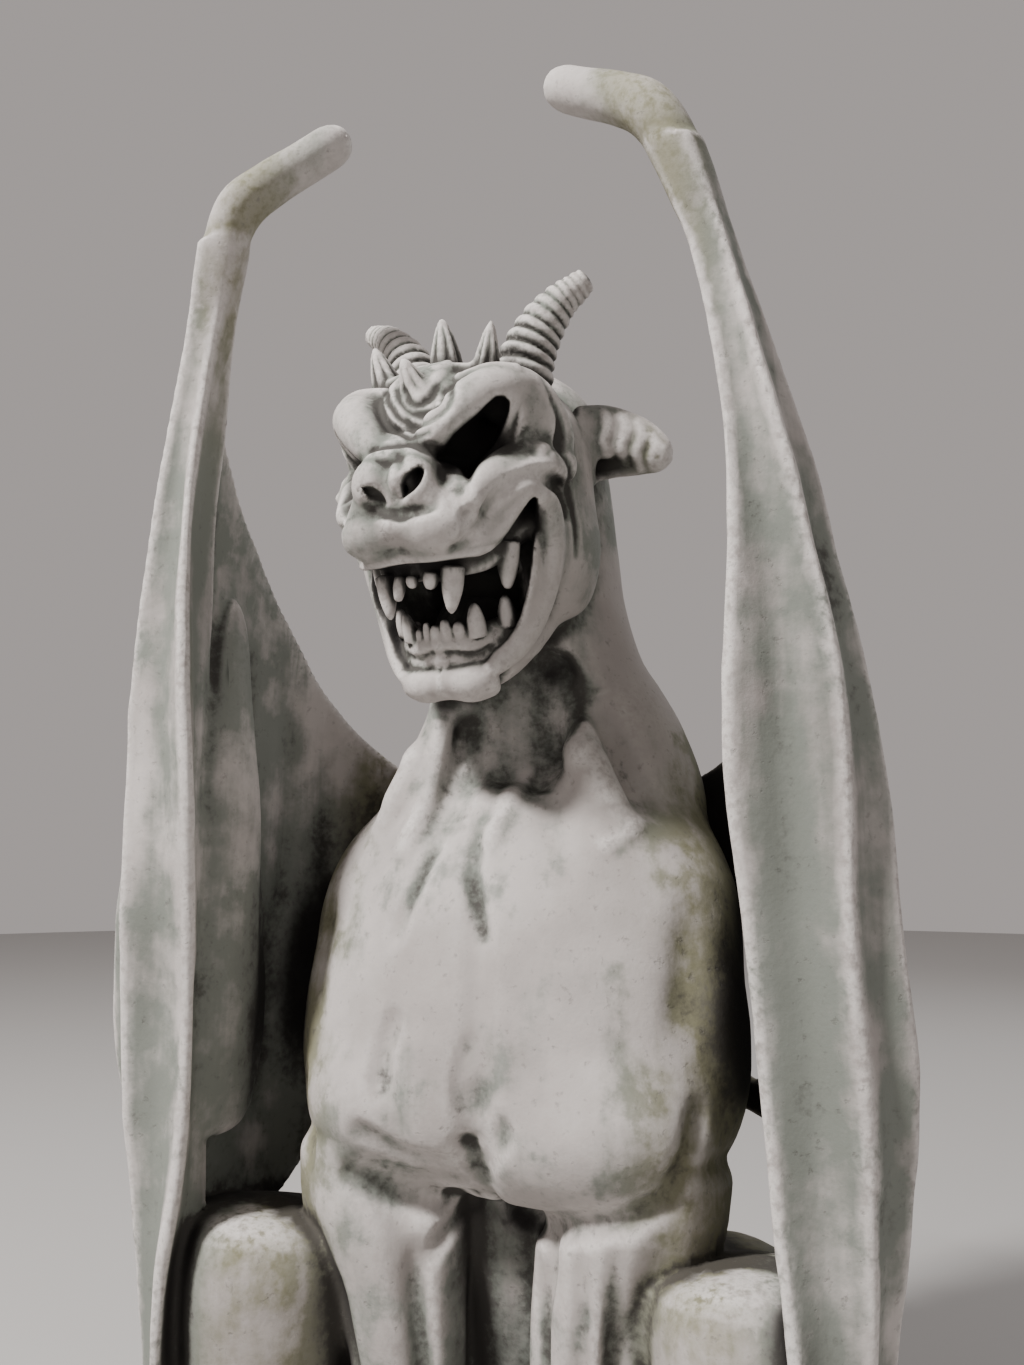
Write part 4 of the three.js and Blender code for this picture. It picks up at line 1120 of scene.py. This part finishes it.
def fill_pinches():
    """Presses clay into every grid face whose inside corners lie on one diagonal only, until none is left.
    There the skin would touch itself along an edge. The corners' distances become PRESSED or less."""
    filled, found = 0, 1
    while found:
        found = 0
        for b, c in ((0, 1), (0, 2), (1, 2)):
            corners = []
            for step_b, step_c in ((0, 0), (1, 1), (1, 0), (0, 1)):
                picks = [slice(None)] * 3
                picks[b] = slice(step_b, clay.shape[b] - 1 + step_b)
                picks[c] = slice(step_c, clay.shape[c] - 1 + step_c)
                corners.append(clay[tuple(picks)])
            low, high, right, up = (corner < 0 for corner in corners)
            pinched = (low == high) & (right == up) & (low != right)
            for corner in corners:
                corner[pinched] = np.minimum(corner[pinched], PRESSED)
            found += int(pinched.sum())
        filled += found
    return filled


print(f"{fill_pinches()} pinched grid faces filled")


# %% Surface nets
def surface_nets():
    """One vertex per crossed cell, at the mean of its crossings, and one quad per crossed grid line."""
    inside = clay < 0
    cells, places, flips = [], [], []
    shape = np.array(clay.shape)
    for axis in range(3):
        lower, upper = [slice(None)] * 3, [slice(None)] * 3
        lower[axis], upper[axis] = slice(0, -1), slice(1, None)
        crossed = inside[tuple(lower)] != inside[tuple(upper)]
        index = np.argwhere(crossed)
        first, second = clay[tuple(lower)][crossed], clay[tuple(upper)][crossed]
        share = first / (first - second)
        place = np.stack([axes[i][index[:, i]] for i in range(3)], axis=1).astype(np.float64)
        place[:, axis] += share * (axes[axis][index[:, axis] + 1] - axes[axis][index[:, axis]])
        b, c = (axis + 1) % 3, (axis + 2) % 3
        around = []
        for step_b, step_c in ((0, 0), (-1, 0), (-1, -1), (0, -1)):
            cell = index.copy()
            cell[:, b] += step_b
            cell[:, c] += step_c
            around.append(np.ravel_multi_index(cell.T, shape))
        cells.append(np.stack(around, axis=1))
        places.append(np.repeat(place, 4, axis=0))
        flips.append(first > 0)
    cells, places, flips = np.concatenate(cells), np.concatenate(places), np.concatenate(flips)
    _, number = np.unique(cells.ravel(), return_inverse=True)
    number = number.ravel()
    tally = np.bincount(number)
    vertices = np.stack([np.bincount(number, places[:, i]) / tally for i in range(3)], axis=1)
    quads = number.reshape(-1, 4)
    quads[flips] = quads[flips][:, ::-1]
    return vertices, quads


def largest_shell(vertices, quads):
    """The vertices and quads of the shell with the most vertices, without any bubble inside the clay.
    Each vertex takes the lowest label that it can reach, and the label's own label in turn, until each quad
    has one label."""
    label = np.arange(len(vertices))
    while True:
        around = label[quads]
        lowest = around.min(axis=1)
        if (around == lowest[:, None]).all():
            break
        np.minimum.at(label, around.ravel(), np.repeat(lowest, 4))
        label = label[label]
    kept = label == np.bincount(label).argmax()
    number = np.cumsum(kept) - 1
    return vertices[kept], number[quads[kept[quads[:, 0]]]]


vertices, quads = largest_shell(*surface_nets())
print(f"{len(vertices)} vertices and {len(quads)} quads after {time.time() - started:.0f} s")

# %% Thinning to the triangle budget
TRIANGLES = 196000


def mesh_of(name, vertices, faces):
    """A mesh from arrays of vertices, in metres, and faces with a fixed number of corners."""
    mesh = bpy.data.meshes.new(name)
    corners = faces.shape[1]
    mesh.vertices.add(len(vertices))
    mesh.vertices.foreach_set("co", vertices.astype(np.float32).ravel())
    mesh.loops.add(faces.size)
    mesh.loops.foreach_set("vertex_index", faces.astype(np.int32).ravel())
    mesh.polygons.add(len(faces))
    mesh.polygons.foreach_set("loop_start", np.arange(0, faces.size, corners, dtype=np.int32))
    mesh.update(calc_edges=True)
    return mesh


def finished(piece):
    """The piece's mesh with its modifiers worked in."""
    graph = bpy.context.evaluated_depsgraph_get()
    mesh = bpy.data.meshes.new_from_object(piece.evaluated_get(graph))
    piece.modifiers.clear()
    piece.data = mesh
    return piece


GRAINS = ((7.0, 0.13), (2.4, 0.07))
BASE_GRAIN = 0.35
LATTICE = 40
LATTICE_SHIFT = 200.0


def grain(points, size, seed):
    """Smooth noise from -1 to 1: random numbers on a lattice, blended by f squared times (3 - 2f)."""
    lattice = np.random.default_rng(seed).uniform(-1, 1, (LATTICE,) * 3).astype(np.float32)
    at = (points + LATTICE_SHIFT) / size
    whole = np.floor(at).astype(np.int32)
    part = (at - whole).astype(np.float32)
    part = part * part * (3 - 2 * part)
    total = np.zeros(len(points), np.float32)
    for corner in np.ndindex(2, 2, 2):
        weight = np.prod([part[:, i] if corner[i] else 1 - part[:, i] for i in range(3)], axis=0)
        total += weight * lattice[tuple((whole[:, i] + corner[i]) % LATTICE for i in range(3))]
    return total


def roughened(mesh, points):
    """The points moved along the mesh's normals by two sizes of grain, less on the base and not at all
    on the ground."""
    normals = np.empty(3 * len(points), np.float32)
    mesh.vertex_normals.foreach_get("vector", normals)
    amount = sum(height * grain(points, size, seed) for seed, (size, height) in enumerate(GRAINS))
    amount *= np.where(points[:, 2] < BASE_TOP, BASE_GRAIN, 1) * np.clip(points[:, 2], 0, 1)
    return points + normals.reshape(-1, 3) * amount[:, None]


statue = bpy.data.objects.new("stone_gargoyle", mesh_of("stone_gargoyle", vertices * SHARE, quads))
bpy.context.scene.collection.objects.link(statue)
thin = statue.modifiers.new("thin", "DECIMATE")
thin.ratio = min(1.0, TRIANGLES / (2 * len(quads)))
finished(statue)
skin = statue.data
count = len(skin.vertices)
places = np.empty(count * 3, np.float32)
skin.vertices.foreach_get("co", places)
places = roughened(skin, places.reshape(-1, 3) / SHARE) * SHARE
places = np.clip(places, low_corner, high_corner)
skin.vertices.foreach_set("co", places.ravel())
skin.polygons.foreach_set("use_smooth", np.ones(len(skin.polygons), bool))
skin.update()
print(f"{len(skin.polygons)} faces after {time.time() - started:.0f} s")

# %% [markdown]
# ## What the stain and the painted shade need to know
# Stain gathers where a brush can't wipe it off, and the same places are painted darker as shade. The
# clay already knows such places: step out from the surface, and in a hollow the distance grows slower
# than the step. Four steps of different lengths give one number for each vertex, 0 on open ground and
# 1 deep in a cleft. How the distance bends tells ridges from creases. Steps in 26 directions tell how
# much of the sky is shut off, which is the number called shade.

# %% Hollows
grid_places = places.astype(np.float64) / SHARE
outward = slope(grid_places)
HOLLOW_STEPS = (0.5, 1.0, 2.0, 4.0)
HOLLOW_GAIN = 1.5
CURVE_REACH = 0.3
CREST_GAIN, CREASE_GAIN = 0.4, 0.22
SHELTER_STEPS = (1.2, 2.6, 5.5)
SHELTER_GAIN = 3
shut = [1 - np.clip(read(grid_places + outward * step) / step, 0, 1) for step in HOLLOW_STEPS]
hollow = np.clip(np.mean(shut, axis=0) * HOLLOW_GAIN, 0, 1)
near = np.eye(3) * CURVE_REACH
round_about = sum(read(grid_places + step) + read(grid_places - step) for step in near)
curve = (round_about - 6 * read(grid_places)) / CURVE_REACH**2
crest = np.clip(curve * CREST_GAIN, 0, 1)
crease = np.clip(-curve * CREASE_GAIN, 0, 1)

# %% Shade
lit, faced = np.zeros(count), np.zeros(count)
for way in unit(np.array([way for way in np.ndindex(3, 3, 3) if way != (1, 1, 1)], float) - 1):
    facing = np.maximum(outward @ way, 0)
    free = [read(grid_places + way * step) * SHELTER_GAIN / step for step in SHELTER_STEPS]
    free = np.clip(free, 0, 1)
    lit += facing * np.min(free, axis=0)
    faced += facing
shade = 1 - lit / faced
for name, values in (("hollow", hollow), ("crest", crest), ("crease", crease), ("shade", shade)):
    skin.attributes.new(name, "FLOAT", "POINT").data.foreach_set("value", values.astype(np.float32))
    print(f"{name}: mean {values.mean():.2f}, greatest {values.max():.2f}")

# %% [markdown]
# ## Shader maths as Python
# A material is a little calculation for each point of the surface. The class below wraps one
# socket, so a mask can be written as an ordinary expression.


# %% The Value class
class Value:
    """A number, colour or vector on its way through a material. An operator adds its own node."""

    def __init__(self, socket):
        self.socket = socket

    @property
    def tree(self):
        return self.socket.id_data

    def maths(self, operation, *others):
        inputs = {0: self, **dict(enumerate(others, 1))}
        return node(self.tree, "ShaderNodeMath", {"operation": operation}, inputs)

    def __add__(self, other):
        return self.maths("ADD", other)

    def __mul__(self, other):
        return self.maths("MULTIPLY", other)

    def __sub__(self, other):
        return self.maths("SUBTRACT", other)

    def __rsub__(self, other):
        return (self * -1.0) + other

    __radd__ = __add__
    __rmul__ = __mul__

    def clamped(self):
        return node(self.tree, "ShaderNodeClamp", {}, {"Value": self})

    def between(self, low, high):
        """0 below the low mark and 1 above the high one, with a smooth rise between them."""
        inputs = {"Value": self, "From Min": low, "From Max": high}
        return node(self.tree, "ShaderNodeMapRange", {"interpolation_type": "SMOOTHSTEP"}, inputs)


def node(tree, kind, settings, inputs, output=0):
    """Adds any node: its settings first, then the values or links of its sockets."""
    made = tree.nodes.new(kind)
    for name, value in settings.items():
        setattr(made, name, value)
    for name, value in inputs.items():
        if isinstance(value, Value):
            tree.links.new(value.socket, made.inputs[name])
        else:
            made.inputs[name].default_value = value
    return Value(made.outputs[output]) if made.outputs else None


def blended(mask, first, second):
    """A colour between two others, by a mask from 0 to 1."""
    inputs = {0: mask}
    for index, colour in ((6, first), (7, second)):
        inputs[index] = colour if isinstance(colour, Value) else (*colour, 1.0)
    return node(mask.tree, "ShaderNodeMix", {"data_type": "RGBA"}, inputs, output=2)


# %% Cast stone
CLOUDED, CLEAN = (0.335, 0.305, 0.29), (0.49, 0.455, 0.435)
GREY_GREEN, OLIVE = (0.16, 0.18, 0.155), (0.16, 0.155, 0.085)
# The near black below serves both as dirt and as painted shade in hollows and creases, and the darkest colour is
# painted shade for the deepest recesses.
DIRT_AND_SHADE, BARE = (0.042, 0.037, 0.034), (0.66, 0.63, 0.605)
PITS, DEEP_SHADE = (0.11, 0.105, 0.095), (0.012, 0.01, 0.01)
GREATEST_STAIN, GREATEST_DIRT_AND_SHADE, GREATEST_WEAR = 0.88, 0.9, 0.8
ROUGHNESS, SPECULAR = 0.86, 0.3
RELIEF_STRENGTH, RELIEF_HEIGHT = 0.35, 0.0008


def cast_stone():
    """Fine grey concrete, grey-green stain and painted shade in its hollows, pale where it was rubbed."""
    material = bpy.data.materials.new("cast_stone")
    material.use_nodes = True
    tree = material.node_tree
    tree.nodes.clear()
    here = node(tree, "ShaderNodeTexCoord", {}, {}, output=3)

    def noise(scale, detail=4.0, squeeze=(1, 1, 1), shift=(0, 0, 0)):
        at = node(tree, "ShaderNodeMapping", {}, {"Vector": here, "Scale": squeeze, "Location": shift})
        inputs = {"Vector": at, "Scale": scale, "Detail": detail, "Roughness": 0.6}
        return node(tree, "ShaderNodeTexNoise", {}, inputs)

    hollow, crest, crease, shade = (
        node(tree, "ShaderNodeAttribute", {"attribute_name": name}, {}, output=2)
        for name in ("hollow", "crest", "crease", "shade")
    )
    x = node(tree, "ShaderNodeSeparateXYZ", {}, {"Vector": here}, output=0)
    z = node(tree, "ShaderNodeSeparateXYZ", {}, {"Vector": here}, output=2)
    clouds = noise(8.0)
    blots = noise(34.0, detail=5.0, shift=(7, 2, 4))
    specks = noise(190.0, detail=6.0, shift=(3, 1, 2))
    streaks = noise(30.0, squeeze=(1, 1, 0.1), shift=(1, 5, 0))
    wing = x.maths("ABSOLUTE").between(0.14, 0.175)
    flank = x.maths("ABSOLUTE").between(0.07, 0.125) * (1 - wing)
    low = 1 - z.between(0.1, 0.36)
    upper = z.between(0.55, 0.64) * (1 - wing)
    veil = noise(13.0, detail=9.0, shift=(2, 6, 1))
    patches = veil.between(0.5, 0.57) * blots.between(0.44, 0.58)
    pale = blended(clouds.between(0.32, 0.68), CLOUDED, CLEAN)
    damp = wing * 0.5 + low * 0.2 + upper * 0.4 + hollow * 0.7 + shade * 0.7 + crease * 0.45
    damp = damp + flank * 0.3
    marks = (streaks - 0.5) * 1.6 + (blots - 0.5) * 1.3 + (veil - 0.5) * 2.2 + patches * 0.25
    stain = (damp + marks - crest * 0.5).between(0.05, 0.85)
    washed = blended(stain * GREATEST_STAIN, pale, blended(flank, GREY_GREEN, OLIVE))
    soot = (blots - 0.5) * 0.9 + (specks - 0.5) * 1.0 + (veil - 0.5) * 1.2
    # Darker in hollows, creases and sheltered places: partly dirt from the soot noise, partly painted shade from
    # the hollow, crease and shade numbers.
    grime_and_shade = (hollow * 0.7 + shade * 0.7 + crease * 0.6 + upper * 0.15 + soot - 0.2).between(0.15, 0.8)
    dirty_and_shaded = blended(grime_and_shade * GREATEST_DIRT_AND_SHADE, washed, DIRT_AND_SHADE)
    rubbed = (crest * (1 - hollow) * specks.between(0.3, 0.6)).clamped() * GREATEST_WEAR
    worn = blended(rubbed, dirty_and_shaded, BARE)
    pitted = blended(specks.between(0.57, 0.74) * 0.35, worn, PITS)
    # Painted shade: almost black where the sky is mostly shut off, deep in the mouth, sockets and clefts.
    colour = blended(shade.between(0.5, 0.8) * 0.94, pitted, DEEP_SHADE)
    relief = noise(420.0, detail=3.0) * 0.5 + noise(120.0, detail=4.0) + specks.between(0.6, 0.75) * -0.8
    inputs = {"Strength": RELIEF_STRENGTH, "Distance": RELIEF_HEIGHT, "Height": relief}
    bump = node(tree, "ShaderNodeBump", {}, inputs)
    inputs = {"Base Color": colour, "Roughness": ROUGHNESS, "Normal": bump, "Specular IOR Level": SPECULAR}
    shader = node(tree, "ShaderNodeBsdfPrincipled", {}, inputs)
    node(tree, "ShaderNodeOutputMaterial", {}, {"Surface": shader})
    return material


skin.materials.clear()
skin.materials.append(cast_stone())
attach(statue, "root")
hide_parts("gargoyle")

# %% [markdown]
# ## Floor, light and camera
# The floor is a pale disc. The main light stands high in front and to the left, where the picture's
# light comes from, with a weak one on the other side and one behind. The camera's place was worked
# out above.

# %% Floor
FLOOR_RADIUS = 6.0
FLOOR_SIDES = 96
FLOOR_COLOUR = (0.43, 0.42, 0.41, 1)


def floor_disc():
    """A disc of one face, its corners on a circle."""
    turn = np.linspace(0, 2 * np.pi, FLOOR_SIDES, endpoint=False)
    rim = FLOOR_RADIUS * np.stack([np.cos(turn), np.sin(turn), 0 * turn], axis=1)
    return mesh_of("floor", rim, np.arange(FLOOR_SIDES)[None, :])


floor = bpy.data.objects.new("floor", floor_disc())
bpy.context.scene.collection.objects.link(floor)
paint = bpy.data.materials.new("pale_floor")
paint.use_nodes = True
shader = paint.node_tree.nodes["Principled BSDF"]
shader.inputs["Base Color"].default_value = FLOOR_COLOUR
shader.inputs["Roughness"].default_value = 0.9
floor.data.materials.append(paint)

# %% Lights
AIM = Vector((0, 0, 0.55 * HEIGHT))
LIGHTS = (
    ("key", (-1.1, -1.8, 2.7), 0.35, 195, (1.0, 0.97, 0.945)),
    ("fill", (2.2, -1.2, 0.9), 1.8, 3, (0.95, 0.97, 1.0)),
    ("back", (1.2, 2.2, 2.0), 1.2, 16, (0.96, 0.98, 1.0)),
)
SKY_COLOUR = (0.86, 0.79, 0.765, 1)
SKY_STRENGTH = 0.47


def soft_light(name, place, size, power, colour):
    """A square light at a place, turned to face the middle of the statue."""
    lamp = bpy.data.lights.new(name, "AREA")
    lamp.size = size
    lamp.energy = power
    lamp.color = colour
    holder = bpy.data.objects.new(name, lamp)
    holder.location = place
    holder.rotation_euler = (AIM - Vector(place)).to_track_quat("-Z", "Y").to_euler()
    bpy.context.scene.collection.objects.link(holder)


for light in LIGHTS:
    soft_light(*light)
world = bpy.data.worlds.new("studio")
world.use_nodes = True
sky = world.node_tree.nodes["Background"]
sky.inputs["Color"].default_value = SKY_COLOUR
sky.inputs["Strength"].default_value = SKY_STRENGTH
bpy.context.scene.world = world

# %% Camera
SENSOR = 36.0
lens = bpy.data.cameras.new("camera")
lens.sensor_width = SENSOR
lens.lens = SENSOR * FOCAL_PIXELS / PHOTO_HEIGHT
camera = bpy.data.objects.new("camera", lens)
camera.location = camera_place * SHARE
camera.rotation_euler = (np.pi / 2 + CAMERA_PITCH, 0, CAMERA_YAW)
bpy.context.scene.collection.objects.link(camera)
bpy.context.scene.camera = camera
